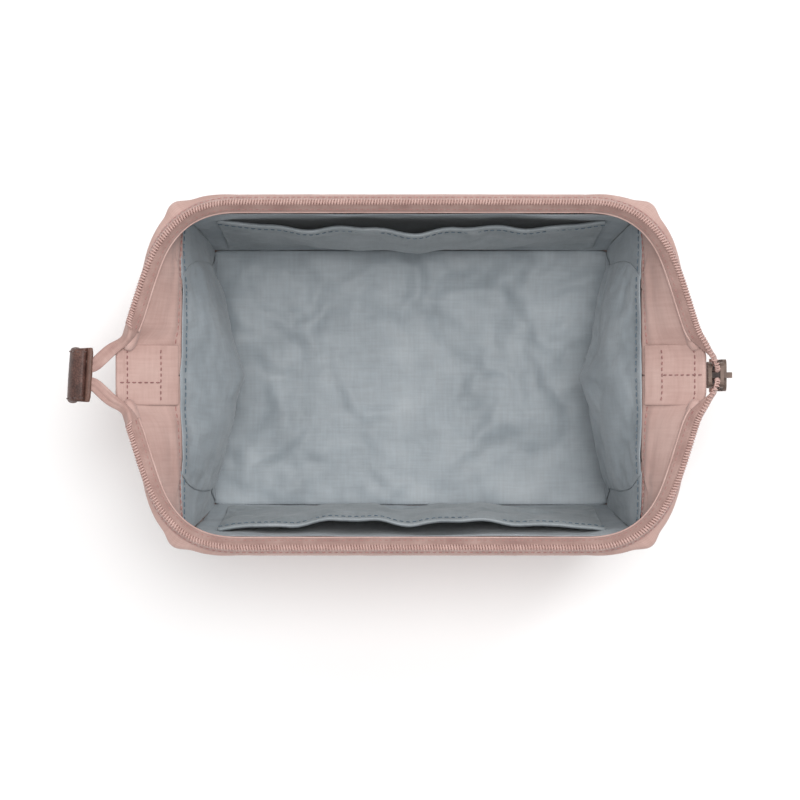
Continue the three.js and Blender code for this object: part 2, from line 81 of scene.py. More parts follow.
# The shell's form, the same as in the CAD source
MOUTH_X = 126.0  # half the mouth's length between its corners
MOUTH_Y = -WIRE_LOW.y - WIRE_RADIUS
EAR = 28.0  # how far a side seam stands out past those corners
SIDE_SAG = 20.0  # how far the middle of a side folds inwards
WALL_BULGE = 5.0
FACING_Z = 141.0  # the seam between a facing and the side lining
WIRE_BEND = 34.0  # where the wire's corner bend starts, from the corner
SEAM_HALF = 16.0  # half the width of a side seam's patch
SLEEVE = 4.05  # radius of the cloth tube round the wire
INSIDE = 3.0  # how far the lining lies inside the outer cloth's face
FABRIC = 1.4
COIL_RADIUS = 1.1
COIL_PITCH = 1.5
COIL_TOP = COIL_HIGH.z - RIM_Z - COIL_RADIUS
HINGE_Y = 12.35  # where the two wires turn
SEAM_DROP = 91.25  # how far the side seams come down as the mouth shuts
CLOSED_BAR_Z = 146.4  # height of the wires' bars in the shut mouth

# Thickness of each cloth
WALL_THICK = FABRIC * 0.8
LINING_THICK = 0.7

# Seeds that keep the relief of the pieces apart
WALL_SEED, SIDE_SEED, BAND_SEED, FACING_SEED = 4.0, 12.0, 30, 40
LINING_SEED, POCKET_SEED, PATCH_SEED, TAB_SEED = 50.0, 60, 70, 5
BASE_SEED, FLOOR_SEED = 2.0, 9.0

# For each cloth that is settled: its spare length as a share, and how far it may rise and sink
SETTLE = {
    "wall": (0.012, 2.4, 1.2),
    "floor": (0.03, 5.0, 0.3),
    "side": (0.015, 1.6, 0.4),
    "side_lining": (0.03, 4.5, 0.3),
    "wall_lining": (0.02, 1.4, 0.6),
    "pocket": (0.03, 2.6, 0.5),
}

# Length, gap and radius of the stitches of each kind of seam
STITCHES = {
    "channel": (3.0, 1.4, 0.42),
    "tape": (2.2, 1.0, 0.3),
    "lining": (2.4, 1.1, 0.34),
    "pocket": (2.4, 1.2, 0.34),
    "patch": (1.9, 1.2, 0.34),
    "tab": (2.2, 0.9, 0.36),
}

HALVES = {"front": -1, "rear": 1}
SIDES = {"left": -1, "right": 1}


def lerp(a, b, t):
    return a + (b - a) * t


def clamp(t):
    return max(0.0, min(1.0, t))


def smooth(t):
    t = clamp(t)
    return t * t * (3 - 2 * t)


def spread(a, b, count):
    return [lerp(a, b, i / count) for i in range(count + 1)]


def crease(point, size, seed, height):
    """Soft fabric relief: a few sizes of noise added up."""
    p = Vector(point) / size + Vector((seed, seed * 1.7, -seed))
    return height * (noise.noise(p) + 0.45 * noise.noise(p * 2.3) + 0.2 * noise.noise(p * 5.1))


# ---------------------------------------------------------------- the shell's surfaces


def edge_x(z):
    return lerp(BASE_X, MOUTH_X, z / RIM_Z)


def edge_y(z):
    return lerp(BASE_Y, MOUTH_Y, z / RIM_Z)


def side_x(y, z):
    share = 1 - min(1, abs(y) / edge_y(z))
    sag = SIDE_SAG * math.sin(math.pi * min(1, z / FACING_Z)) ** 2
    ear = EAR * max(0, (z - FACING_Z) / (RIM_Z - FACING_Z))
    return edge_x(z) + (ear - sag) * share


def wall_y(x, z):
    swell = WALL_BULGE * math.sin(math.pi * clamp(z / RIM_Z)) * (1 - 0.6 * (x / BASE_X) ** 2)
    return edge_y(z) + swell


def leg_x(y):
    return lerp(MOUTH_X + EAR, MOUTH_X, abs(y) / MOUTH_Y)


def gusset_y(z):
    """How far the middle of a side reaches before its folding corner begins."""
    risen = z - SEAM_DROP * smooth((z - 6) / 134)
    return BASE_Y - (BASE_Y - HINGE_Y) * clamp(risen / CLOSED_BAR_Z) - 2


def fold_share(y):
    """0 at a long wall and 1 at the wires' hinge line."""
    return clamp((MOUTH_Y - abs(y)) / (MOUTH_Y - HINGE_Y))


def flap_z(y):
    """The lowest height of the outer flap that hangs from a leg of the wire."""
    return RIM_Z - 4 - 31 * fold_share(y)


# ---------------------------------------------------------------- mesh helpers


def make(name, points, faces, material, levels=0, thick=0.0, offset=-1.0):
    mesh = bpy.data.meshes.new(name)
    mesh.from_pydata([tuple(c * MM for c in p) for p in points], [], faces)
    mesh.update()
    for face in mesh.polygons:
        face.use_smooth = True
    mesh.materials.append(material)
    piece = bpy.data.objects.new(name, mesh)
    bpy.context.scene.collection.objects.link(piece)
    if thick:
        solid = piece.modifiers.new("thickness", "SOLIDIFY")
        solid.thickness = thick * MM
        solid.offset = offset
        solid.use_even_offset = False
    if levels:
        sub = piece.modifiers.new("smooth", "SUBSURF")
        sub.levels = sub.render_levels = levels
    return piece


def grid(name, rows, material, flip=False, close=False, cap=False, **more):
    """A mesh through rows of points of one length. close joins each row's end to its start."""
    wide = len(rows[0])
    points = [p for row in rows for p in row]
    faces = []
    for i in range(len(rows) - 1):
        for j in range(wide if close else wide - 1):
            k = (j + 1) % wide
            face = (i * wide + j, i * wide + k, (i + 1) * wide + k, (i + 1) * wide + j)
            faces.append(face[::-1] if flip else face)
    if cap:
        last = (len(rows) - 1) * wide
        ends = (tuple(range(wide))[::-1], tuple(range(last, last + wide)))
        faces.extend(end[::-1] if flip else end for end in ends)
    piece = make(name, points, faces, material, **more)
    lay_cloth(piece, rows, wide)
    return piece


def run_along(line):
    """How far along a line each of its places is."""
    run = [0.0]
    for a, b in zip(line, line[1:]):
        run.append(run[-1] + (b - a).length)
    return run


def mean_run(lines):
    runs = [run_along(line) for line in lines]
    return [sum(column) / len(runs) for column in zip(*runs)]


def between(run, i, distance):
    """Where a distance lies between places i and i + 1 of a line, as a share."""
    return (distance - run[i]) / max(1e-9, run[i + 1] - run[i])


CLOTHS = []


def lay_cloth(piece, rows, wide):
    """Flat cloth places in metres, so that the weave follows the piece and stays on it as it folds."""
    CLOTHS.append(piece.name)
    apart = 0.37 * len(CLOTHS)
    across = mean_run([list(row) + [row[0]] for row in rows])
    down = mean_run([[row[j] for row in rows] for j in range(0, wide, max(1, wide // 8))])
    layer = piece.data.uv_layers.new(name="cloth")
    for face in piece.data.polygons:
        columns = [v % wide for v in face.vertices]
        wraps = max(columns) - min(columns) > 1
        for loop, v in zip(face.loop_indices, face.vertices):
            i, j = divmod(v, wide)
            at = across[wide] if wraps and j == 0 else across[j]
            layer.data[loop].uv = (at * MM + apart, down[i] * MM)


SETTLE_STEPS = 16


def eased(distance, most):
    """A distance that comes near most but never passes it."""
    return most * math.tanh(distance / most)


def settle(piece, free, kind, sewn_z=None):
    """Lets a cloth with a little spare length crumple, held at its edges and above sewn_z. free is its free side."""
    spare, rise, sink = SETTLE[kind]
    scene = bpy.context.scene
    mesh = piece.data.copy()
    loose = bpy.data.objects.new("settling", mesh)
    scene.collection.objects.link(loose)
    uses = {}
    for face in mesh.polygons:
        for key in face.edge_keys:
            uses[key] = uses.get(key, 0) + 1
    held = {v for key, count in uses.items() if count == 1 for v in key}
    if sewn_z is not None:
        held |= {v.index for v in mesh.vertices if v.co.z > sewn_z * MM}
    loose.vertex_groups.new(name="held").add(sorted(held), 1.0, "REPLACE")
    how = loose.modifiers.new("settle", "CLOTH").settings
    how.quality = 5
    how.mass = 0.15
    how.tension_stiffness = how.compression_stiffness = 12
    how.shear_stiffness = 6
    how.bending_stiffness = 0.06
    how.vertex_group_mass = "held"
    how.shrink_min = -spare
    how.effector_weights.gravity = 0.0
    for step in range(1, SETTLE_STEPS + 1):
        scene.frame_set(step)
    settled = loose.evaluated_get(bpy.context.evaluated_depsgraph_get()).to_mesh()
    free = Vector(free).normalized()
    most = max(rise, sink) * MM
    for vertex, moved in zip(piece.data.vertices, settled.vertices):
        shift = moved.co - vertex.co
        out = shift.dot(free)
        flat = shift - free * out
        if flat.length > most:
            flat = flat.normalized() * most
        vertex.co = vertex.co + flat + free * eased(out, (rise if out > 0 else sink) * MM)
    scene.frame_set(1)
    bpy.data.objects.remove(loose)
    piece.data.update()


def finish_piece(piece, body=None, across=None, squashed=None, nodes=()):
    """Attaches a piece to the body it moves with, or for a piece across a joint only bakes its place; squashed only
    gives it a mesh of its own. Hides the CAD nodes that it stands for.
    """
    if across:
        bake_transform(piece)
    else:
        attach(piece, body)
    if squashed:
        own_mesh(piece)
    if nodes:
        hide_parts(*nodes)


def wall_fold(half):
    """The joint and hinge line of a wall, for the cloth next to it."""
    return f"{half}_wall_lean", (0, HALVES[half] * BASE_Y * MM, 0)


def frame_bend(half):
    """What joins a rim piece to its turning wire and to the side seams."""
    start, end = [(0, HALVES[half] * y * MM, RIM_Z * MM) for y in (5, 17)]
    return "side_seams", f"{half}_frame", start, end


def seam_bend():
    """What joins the middle of a side to the base below and the side seam above."""
    return "bag_base", "side_seams", (0, 0, 6 * MM), (0, 0, 140 * MM)


# ---------------------------------------------------------------- materials


class Nodes:
    """A small helper for one material's node tree."""

    def __init__(self, name, woven=False):
        self.material = bpy.data.materials.new(name)
        self.material.use_nodes = True
        self.tree = self.material.node_tree
        self.shader = self.tree.nodes["Principled BSDF"]
        if woven:
            self.place = self.add("ShaderNodeUVMap", uv_map="cloth").outputs["UV"]
        else:
            self.place = self.add("ShaderNodeTexCoord").outputs["Object"]

    def add(self, kind, **values):
        node = self.tree.nodes.new(kind)
        for key, value in values.items():
            setattr(node, key, value)
        return node

    def link(self, a, b):
        self.tree.links.new(a, b)

    def noise(self, size_mm, detail=3.0, rough=0.55, stretch=None):
        node = self.add("ShaderNodeTexNoise")
        node.inputs["Scale"].default_value = 1 / (size_mm * MM)
        node.inputs["Detail"].default_value = detail
        node.inputs["Roughness"].default_value = rough
        self.link(self.scaled(stretch), node.inputs["Vector"])
        return node.outputs["Fac"]

    def scaled(self, stretch):
        if stretch is None:
            return self.place
        node = self.add("ShaderNodeMapping")
        node.inputs["Scale"].default_value = stretch
        self.link(self.place, node.inputs["Vector"])
        return node.outputs["Vector"]

    def ramp(self, source, stops):
        node = self.add("ShaderNodeValToRGB")
        while len(node.color_ramp.elements) < len(stops):
            node.color_ramp.elements.new(0.5)
        for element, (place, colour) in zip(node.color_ramp.elements, stops):
            element.position = place
            element.color = (*linear(colour), 1)
        self.link(source, node.inputs["Fac"])
        return node.outputs["Color"]

    def math(self, operation, a, b):
        node = self.add("ShaderNodeMath", operation=operation)
        for socket, value in zip(node.inputs, (a, b)):
            if isinstance(value, (int, float)):
                socket.default_value = value
            else:
                self.link(value, socket)
        return node.outputs[0]

    def mix(self, share, a, b, blend="MIX"):
        node = self.add("ShaderNodeMix", data_type="RGBA", blend_type=blend)
        for socket, value in zip((node.inputs[0], node.inputs[6], node.inputs[7]), (share, a, b)):
            if isinstance(value, (int, float)):
                socket.default_value = value
            elif isinstance(value, tuple):
                socket.default_value = (*linear(value), 1)
            else:
                self.link(value, socket)
        return node.outputs[2]

    def waves(self, pitch_mm, axes, warp=0.0):
        """Threads as fine bands, repeated every pitch, along each of the axes given, multiplied or added up."""
        found = []
        for axis in axes:
            wave = self.add("ShaderNodeTexWave", wave_type="BANDS", bands_direction=axis)
            wave.inputs["Scale"].default_value = math.pi / 10 / (pitch_mm * MM)
            wave.inputs["Distortion"].default_value = warp
            wave.inputs["Detail"].default_value = 1.0
            wave.inputs["Detail Scale"].default_value = 2.0
            self.link(self.place, wave.inputs["Vector"])
            found.append(wave.outputs["Fac"])
        total = found[0]
        for other in found[1:]:
            total = self.math("ADD", total, other)
        return self.math("DIVIDE", total, len(found))

    def bump(self, *layers):
        """Layers are (height, depth in mm). Each is added over the one before."""
        normal = None
        for height, depth in layers:
            node = self.add("ShaderNodeBump")
            node.inputs["Strength"].default_value = 1.0
            node.inputs["Distance"].default_value = depth * MM
            self.link(height, node.inputs["Height"])
            if normal:
                self.link(normal, node.inputs["Normal"])
            normal = node.outputs["Normal"]
        self.link(normal, self.shader.inputs["Normal"])

    def set(self, **values):
        for key, value in values.items():
            self.shader.inputs[key.replace("_", " ")].default_value = value

    def colour(self, source):
        self.link(source, self.shader.inputs["Base Color"])

    def roughness(self, source, swing, least):
        self.link(self.math("ADD", self.math("MULTIPLY", source, swing), least), self.shader.inputs["Roughness"])

    def worn(self, dark, light, share):
        """Pointiness picks out raised edges, which wear lighter; flat places and creases keep the dark colour."""
        edge = self.add("ShaderNodeNewGeometry").outputs["Pointiness"]
        node = self.add("ShaderNodeMapRange")
        node.inputs["From Min"].default_value = 0.5
        node.inputs["From Max"].default_value = 0.6
        self.link(edge, node.inputs["Value"])
        return self.mix(self.math("MULTIPLY", node.outputs[0], share), dark, light)


def linear(rgb):
    """An sRGB colour of 0 to 255 as linear light."""
    out = []
    for channel in rgb:
        c = channel / 255
        out.append(c / 12.92 if c <= 0.04045 else ((c + 0.055) / 1.055) ** 2.4)
    return tuple(out)


WHITE = (255, 255, 255)


def cloth(name, dark, mid, light, thread, roughness, sheen, depth, crumple, patch=26, shine=0.35):
    """Woven cloth: fine threads both ways, slubs, cloudy colour, faint crumples.
    thread is the threads' pitch, depth their height, and crumple and patch the sizes of folds and clouds."""
    n = Nodes(name, woven=True)
    cloudy = n.ramp(n.noise(patch, 3.0), [(0.3, dark), (0.5, mid), (0.72, light)])
    slub_a = n.noise(2.4, 2.0, 0.6, stretch=(0.12, 1.6, 1))
    slub_b = n.noise(2.4, 2.0, 0.6, stretch=(1.6, 0.12, 1))
    slubs = n.math("MULTIPLY", n.math("ADD", slub_a, slub_b), 0.5)
    slubs = n.ramp(slubs, [(0.36, (238, 235, 234)), (0.62, WHITE)])
    threads = n.waves(thread, ("X", "Y"), 0.4)
    darker = n.ramp(threads, [(0.1, (226, 222, 220)), (0.7, WHITE)])
    shaded = n.mix(0.55, cloudy, darker, "MULTIPLY")
    n.colour(n.mix(0.7, shaded, slubs, "MULTIPLY"))
    n.roughness(n.noise(7), 0.16, roughness - 0.08)
    n.set(Sheen_Weight=sheen, Sheen_Roughness=0.45, Specular_IOR_Level=shine)
    n.bump((n.noise(crumple, 3.0, 0.5), 0.5), (slub_a, 0.05), (threads, depth))
    return n.material


def leather_material(name):
    n = Nodes(name)
    tone = n.ramp(n.noise(9, 4.0), [(0.3, (70, 46, 40)), (0.55, (94, 64, 56)), (0.8, (114, 81, 70))])
    pores = n.add("ShaderNodeTexVoronoi", feature="DISTANCE_TO_EDGE")
    pores.inputs["Scale"].default_value = 1 / (1.5 * MM)
    n.link(n.place, pores.inputs["Vector"])
    grain = n.ramp(pores.outputs["Distance"], [(0.0, (120, 108, 104)), (0.14, WHITE)])
    grained = n.mix(0.7, tone, grain, "MULTIPLY")
    n.colour(n.worn(grained, (152, 116, 100), 0.55))
    n.roughness(n.noise(4), 0.25, 0.4)
    n.set(Specular_IOR_Level=0.4, Coat_Weight=0.08, Coat_Roughness=0.45)
    n.bump((n.noise(6), 0.4), (pores.outputs["Distance"], 0.1), (n.noise(0.5), 0.05))
    return n.material


def metal_material(name, dark, mid, light, rough, metallic):
    """Antique plate: dark in the hollows, rubbed lighter on the edges, finely scratched."""
    n = Nodes(name)
    tone = n.ramp(n.noise(3.5, 4.0), [(0.3, dark), (0.6, mid)])
    n.colour(n.worn(tone, light, 0.85))
    scratch = n.noise(0.6, 2.0, 0.6, stretch=(1, 1, 0.12))
    n.roughness(scratch, 0.3, rough - 0.12)
    n.set(Metallic=metallic)
    n.bump((n.noise(2.0), 0.08), (scratch, 0.02))
    return n.material


def thread_material(name, colour, light):
    n = Nodes(name)
    n.colour(n.ramp(n.noise(1.2), [(0.35, colour), (0.7, light)]))
    n.set(Roughness=0.7, Sheen_Weight=0.3)
    n.bump((n.waves(0.35, ("X", "Y", "Z"), 0.3), 0.05))
    return n.material


def coil_material():
    n = Nodes("zip_coil_nylon")
    tone = n.ramp(n.noise(5), [(0.3, (180, 146, 138)), (0.7, (198, 166, 158))])
    n.colour(n.worn(tone, (216, 188, 180), 0.6))
    n.roughness(n.noise(1.5), 0.2, 0.34)
    n.set(Specular_IOR_Level=0.5)
    n.bump((n.noise(0.6), 0.04))
    return n.material


def board_material():
    n = Nodes("grey_board")
    n.colour(n.ramp(n.noise(2, 4), [(0.3, (118, 116, 112)), (0.7, (142, 140, 135))]))
    n.set(Roughness=0.85)
    n.bump((n.noise(0.8), 0.1))
    return n.material


def vinyl_material():
    n = Nodes("vinyl_cap")
    n.colour(n.ramp(n.noise(4), [(0.3, (52, 50, 52)), (0.7, (70, 68, 70))]))
    n.roughness(n.noise(2), 0.2, 0.4)
    n.bump((n.noise(1.0), 0.05))
    return n.material


# name, dark, mid and light colour, thread pitch, roughness, sheen, thread depth, crumple and patch sizes
PINK = cloth("dusty_pink_canvas", (180, 148, 140), (189, 158, 150), (197, 168, 160), 0.55, 0.74, 0.2, 0.03, 24)
PINK_BAND = cloth(
    "dusty_pink_binding", (186, 153, 145), (197, 166, 158), (206, 178, 170), 0.6, 0.68, 0.2, 0.04, 9, 14
)
PINK_TAPE = cloth(
    "pink_zip_tape", (166, 133, 126), (177, 145, 137), (188, 158, 150), 0.8, 0.72, 0.15, 0.06, 8, 11
)
GREY = cloth(
    "blue_grey_lining", (148, 157, 163), (161, 170, 176), (174, 182, 187), 0.4, 0.5, 0.15, 0.015, 18, 34, 0.5
)
GREY_POCKET = cloth(
    "blue_grey_pocket", (140, 148, 152), (152, 160, 164), (165, 172, 176), 0.4, 0.52, 0.15, 0.015, 14, 24, 0.5
)
LEATHER = leather_material("brown_leather")
METAL = metal_material("antique_metal", (34, 25, 23), (60, 46, 42), (122, 104, 94), 0.5, 0.45)
STEEL = metal_material("spring_steel", (120, 120, 124), (150, 150, 154), (190, 190, 192), 0.32, 1.0)
PINK_THREAD = thread_material("pink_thread", (150, 102, 98), (176, 128, 122))
GREY_THREAD = thread_material("grey_thread", (70, 88, 102), (100, 118, 130))
DARK_THREAD = thread_material("rose_thread", (122, 78, 76), (150, 102, 98))
LEATHER_THREAD = thread_material("brown_thread", (66, 42, 36), (92, 62, 54))


COIL = coil_material()
BOARD = board_material()
VINYL = vinyl_material()


# ---------------------------------------------------------------- camera, floor and light

PHOTO_WIDTH = 421.0  # what the picture spans at the rim
CAMERA_AT = (-6.3, -13.2)
CAMERA_FAR = 1300.0  # height above the rim
SENSOR = 36
FLOOR_HALF = 6.0
LAMP_AIM = (0, 0, 0.08)


def add_camera():
    data = bpy.data.cameras.new("camera")
    data.sensor_width = SENSOR
    data.lens = SENSOR * CAMERA_FAR / PHOTO_WIDTH
    data.clip_start = 0.05
    data.clip_end = 20
    camera = bpy.data.objects.new("camera", data)
    camera.location = (CAMERA_AT[0] * MM, CAMERA_AT[1] * MM, (RIM_Z + CAMERA_FAR) * MM)
    bpy.context.scene.collection.objects.link(camera)
    bpy.context.scene.camera = camera


def add_light(name, place, size, power):
    data = bpy.data.lights.new(name, "AREA")
    data.shape = "DISK"
    data.size = size
    data.energy = power
    lamp = bpy.data.objects.new(name, data)
    lamp.location = place
    lamp.rotation_euler = (Vector(LAMP_AIM) - Vector(place)).to_track_quat("-Z", "Y").to_euler()
    bpy.context.scene.collection.objects.link(lamp)


def add_studio():
    n = Nodes("studio_floor")
    n.colour(n.ramp(n.noise(300, 2), [(0.3, (244, 244, 244)), (0.7, (248, 248, 248))]))
    n.set(Roughness=0.9)
    mesh = bpy.data.meshes.new("floor")
    corners = [(x * FLOOR_HALF, y * FLOOR_HALF, 0) for x, y in ((-1, -1), (1, -1), (1, 1), (-1, 1))]
    mesh.from_pydata(corners, [], [(0, 1, 2, 3)])
    mesh.materials.append(n.material)
    floor = bpy.data.objects.new("floor", mesh)
    bpy.context.scene.collection.objects.link(floor)
    world = bpy.data.worlds.new("studio")
    world.use_nodes = True
    sky = world.node_tree.nodes["Background"].inputs
    sky["Color"].default_value = (1, 1, 1, 1)
    sky["Strength"].default_value = 0.62
    bpy.context.scene.world = world
    add_light("overhead", (0.1, 0.25, 2.3), 1.0, 27)
    add_light("key", (0.9, 1.2, 1.8), 1.0, 14)
    add_light("fill", (-1.3, -0.7, 1.5), 1.4, 4)
    bpy.context.scene.view_settings.view_transform = "Standard"


add_camera()
add_studio()


# ---------------------------------------------------------------- walls


WALL_OVER = 0.6  # how far a wall's cloth runs past the shell's edge
CORNER = 7.0  # the width of its rounded end
ROLL_OUT = 5.0  # radius of its roll over the sleeve
ROLL_START = 92.0  # where the roll starts to give way to the corner
ROLL_LOW, ROLL_HIGH = -42, 62
WALL_TOP = 147

# The front wall swells more than the rear one: it shows beyond the rim from above.
SLUMP = {-1: 6.0, 1: 1.5}
SLUMP_Z, SLUMP_TALL, SLUMP_HALF = 132.0, 24.0, 122


def slump(x, z, side):
    """Loose cloth that swells out just under the rim."""
    over = math.exp(-(((z - SLUMP_Z) / SLUMP_TALL) ** 2))
    across = max(0, 1 - (x / SLUMP_HALF) ** 2) * (0.72 + 0.28 * math.sin(x / 33 + 0.4))
    return SLUMP[side] * over * across


def fades(z):
    """Relief fades to nothing at the base and under the rim."""
    return math.sin(math.pi * clamp(z / 150))


def wall_point(x_share, z, side, out=0.0, seed=0.0):
    """A place on the outer cloth of a long wall. x_share runs from -1 to 1 over its width."""
    half = edge_x(z) + WALL_OVER
    x = x_share * half
    into = clamp((abs(x) - (half - CORNER)) / CORNER)
    y = wall_y(min(abs(x), half - CORNER * 0.5), z) - CORNER * (1 - math.sqrt(1 - into * into * 0.96)) * 0.8
    y += slump(x, z, side)
    y += crease((x, side * 300, z), 58, seed, 2.6) * fades(z)
    y += crease((x, side * 300, z * 1.6), 19, seed + 3, 0.6) * fades(z)
    return Vector((x, side * (y + out), z))


def wall_rows(side, seed):
    """The outer wall from under the base up, and over the wire's sleeve along the straight of the rim."""
    shares = [math.sin(math.pi / 2 * s) * 0.4 + s * 0.6 for s in spread(-1, 1, 76)]
    rows = []
    for z in [-0.2, 0.6, 2.4, 5] + spread(9, WALL_TOP, 30):
        tuck = 2.6 * (1 - smooth(z / 5))
        rows.append([wall_point(s, z, side, -tuck, seed) for s in shares])
    for angle in spread(ROLL_LOW, ROLL_HIGH, 9):
        turn = math.radians(angle)
        y, z = side * (MOUTH_Y + ROLL_OUT * math.cos(turn)), RIM_Z + ROLL_OUT * math.sin(turn)
        corner_z = lerp(WALL_TOP, 153, clamp((angle - ROLL_LOW) / (ROLL_HIGH - ROLL_LOW)))
        row = []
        for s in shares:
            x = s * (edge_x(RIM_Z) + WALL_OVER)
            beyond = max(0, abs(x) - ROLL_START) / (MOUTH_X - ROLL_START)
            row.append(Vector((x, y, z)).lerp(wall_point(s, corner_z, side, 0, seed), smooth(beyond * 2.2)))
        rows.append(row)
    return rows


# Along one stitch: share of its length, and of its full radius there
STITCH_FORM = ((0.0, 0.25), (0.12, 0.85), (0.5, 1.0), (0.88, 0.85), (1.0, 0.25))
STITCH_SIDES = 6
STITCH_SINK = 0.1


def stitch_line(name, points, up, material, kind):
    """Short rounded stitches along a line of points, half sunk in the cloth."""
    stitch, gap, radius = STITCHES[kind]
    run = run_along(points)

    def at(distance):
        distance = max(0, min(run[-1], distance))
        for i in range(len(run) - 1):
            if run[i + 1] >= distance:
                share = between(run, i, distance)
                return points[i].lerp(points[i + 1], share), (up[i].lerp(up[i + 1], share)).normalized()
        return points[-1], up[-1]

    verts, faces = [], []
    count = max(1, int(run[-1] / (stitch + gap)))
    pitch = run[-1] / count
    for k in range(count):
        base = len(verts)
        for t, swell in STITCH_FORM:
            middle = k * pitch + gap / 2 + (pitch - gap) * t
            place, normal = at(middle)
            ahead = at(middle + 0.3)[0] - at(middle - 0.3)[0]
            ahead.normalize()
            across = ahead.cross(normal).normalized()
            place = place + normal * (radius * swell - STITCH_SINK - radius * 0.5)
            for q in range(STITCH_SIDES):
                turn = math.tau * q / STITCH_SIDES
                verts.append(place + (across * math.cos(turn) + normal * math.sin(turn)) * radius * swell)
        for ring in range(base, base + STITCH_SIDES * 4, STITCH_SIDES):
            for q in range(STITCH_SIDES):
                w = (q + 1) % STITCH_SIDES
                faces.append((ring + q, ring + w, ring + STITCH_SIDES + w, ring + STITCH_SIDES + q))
        faces.append(tuple(base + q for q in reversed(range(STITCH_SIDES))))
        faces.append(tuple(base + STITCH_SIDES * 4 + q for q in range(STITCH_SIDES)))
    return make(name, verts, faces, material)


CORD_SIDES = 8


def cord_piece(name, points, axes, radius, side):
    """A thin round cord along points, with its out and up directions at each."""
    rows = []
    for p, (out, up) in zip(points, axes):
        turns = [math.tau * q / CORD_SIDES for q in range(CORD_SIDES)]
        rows.append([p + out * (radius * math.cos(turn)) + up * (radius * math.sin(turn)) for turn in turns])
    return grid(name, rows, PINK_BAND, flip=side > 0, close=True, cap=True, levels=1)


CHANNEL_Z = 146.0

for half, side in HALVES.items():
    body = f"{half}_wall"
    seed = WALL_SEED + side
    wall = grid(f"{half}_wall_cloth", wall_rows(side, seed), PINK, flip=side > 0, thick=WALL_THICK, levels=1)
    settle(wall, (0, side, 0), "wall")
    finish_piece(wall, body, nodes=[f"{half}_wall"])
    for name, direction in SIDES.items():
        off = Vector((direction * 0.2, 0, 0))
        spots = [wall_point(direction, z, side, 0.2, seed) + off for z in spread(0.8, CHANNEL_Z, 50)]
        axes = [(Vector((direction, 0, 0)), Vector((0, side, 0)))] * len(spots)
        welt = cord_piece(f"{half}_{name}_corner_welt", spots, axes, 1.0, direction * side)
        finish_piece(welt, body)
    # a row of stitches that closes the wire's channel
    row = [wall_point(s, CHANNEL_Z, side, 0.0, seed) for s in spread(-0.93, 0.93, 70)]
    normal = [Vector((0, side, 0.06)).normalized()] * len(row)
    finish_piece(stitch_line(f"{half}_channel_stitches", row, normal, PINK_THREAD, "channel"), body)


# ---------------------------------------------------------------- base


def base_rows(z_at, half_x, half_y, seed, height, corner, hollow):
    """An even grid over a rectangle with rounded corners, with soft relief away from its edge.
    hollow is how much of the relief's hollows is kept: little over the board."""
    rows = []
    for v in spread(-1, 1, 36):
        row = []
        for u in spread(-1, 1, 54):
            x, y = u * half_x, v * half_y
            over_x, over_y = abs(x) - half_x + corner, abs(y) - half_y + corner
            if over_x > 0 and over_y > 0:
                pull = max(over_x, over_y) / math.hypot(over_x, over_y)
                x = math.copysign(half_x - corner + over_x * pull, x)
                y = math.copysign(half_y - corner + over_y * pull, y)
            relief = crease((x, y, 0), 40, seed, height) * smooth(4 * (1 - max(abs(u), abs(v))))
            row.append(Vector((x, y, z_at + (relief if relief > 0 else relief * hollow))))
        rows.append(row)
    return rows


rows = base_rows(PANEL_LOW.z + FABRIC, BASE_X - 0.6, BASE_Y - 0.6, BASE_SEED, 0.4, 12.0, 1.0)
base = grid("base_cloth", rows, PINK, thick=FABRIC * 0.9, levels=1)
finish_piece(base, "bag_base", nodes=["base_panel"])

# The floor's lining runs under the side linings, and ends short of where the walls lean in.
FLOOR_X, FLOOR_Y = LINING_HIGH.x + 1.8, LINING_HIGH.y + 0.2
rows = base_rows(FLOOR_Z + 0.5, FLOOR_X, FLOOR_Y, FLOOR_SEED, 2.0, 3.0, 0.1)
lining = grid("base_lining_cloth", rows, GREY, thick=0.8, levels=1)
settle(lining, (0, 0, 1), "floor")
finish_piece(lining, "bag_base", nodes=["base_lining"])


# ---------------------------------------------------------------- sides


def side_relief(y, z, seed, height):
    """Folds that run up and down a side and fade at its edges."""
    fade = math.sin(math.pi * clamp(z / RIM_Z)) ** 0.6 * smooth((edge_y(z) - abs(y)) / 12)
    folds = crease((0, y, z * 0.45), 26, seed, height)
    fine = crease((0, y, z), 9, seed + 5, height * 0.22)
    return (folds + fine) * fade


SIDE_CLEAR = 2.2
# How far inside the shell's face a cloth lies, its folds' height, its thickness, material and slot
OUTER = (0.3, 1.1, WALL_THICK, PINK, "outer_fabric")
INNER = (INSIDE, 2.4, LINING_THICK, GREY, "lining_fabric")
FLAP = (-0.3, 0.5, WALL_THICK, PINK, "outer_fabric")


def side_place(direction, y, z, depth, seed, height):
    """A place on a side, depth inside its outer cloth. The lining stays clear of the outer cloth's folds."""
    x = side_x(y, z) - depth + side_relief(y, z, seed, height) * (1 if depth < 2 else 0.9)
    if depth >= 2:
        x = min(x, side_x(y, z) - OUTER[0] + side_relief(y, z, seed - 1, OUTER[1]) - SIDE_CLEAR)
    return Vector((direction * x, y, z))


def gusset(name, direction, low, high, seed, kind):
    """The middle of a side between its two folding corners."""
    depth, height, thick, material, _ = kind
    rows = []
    for z in spread(low, high, 40):
        reach = gusset_y(z)
        rows.append([side_place(direction, reach * s, z, depth, seed, height) for s in spread(-1, 1, 36)])
    return grid(name, rows, material, flip=direction < 0, thick=thick, levels=1)


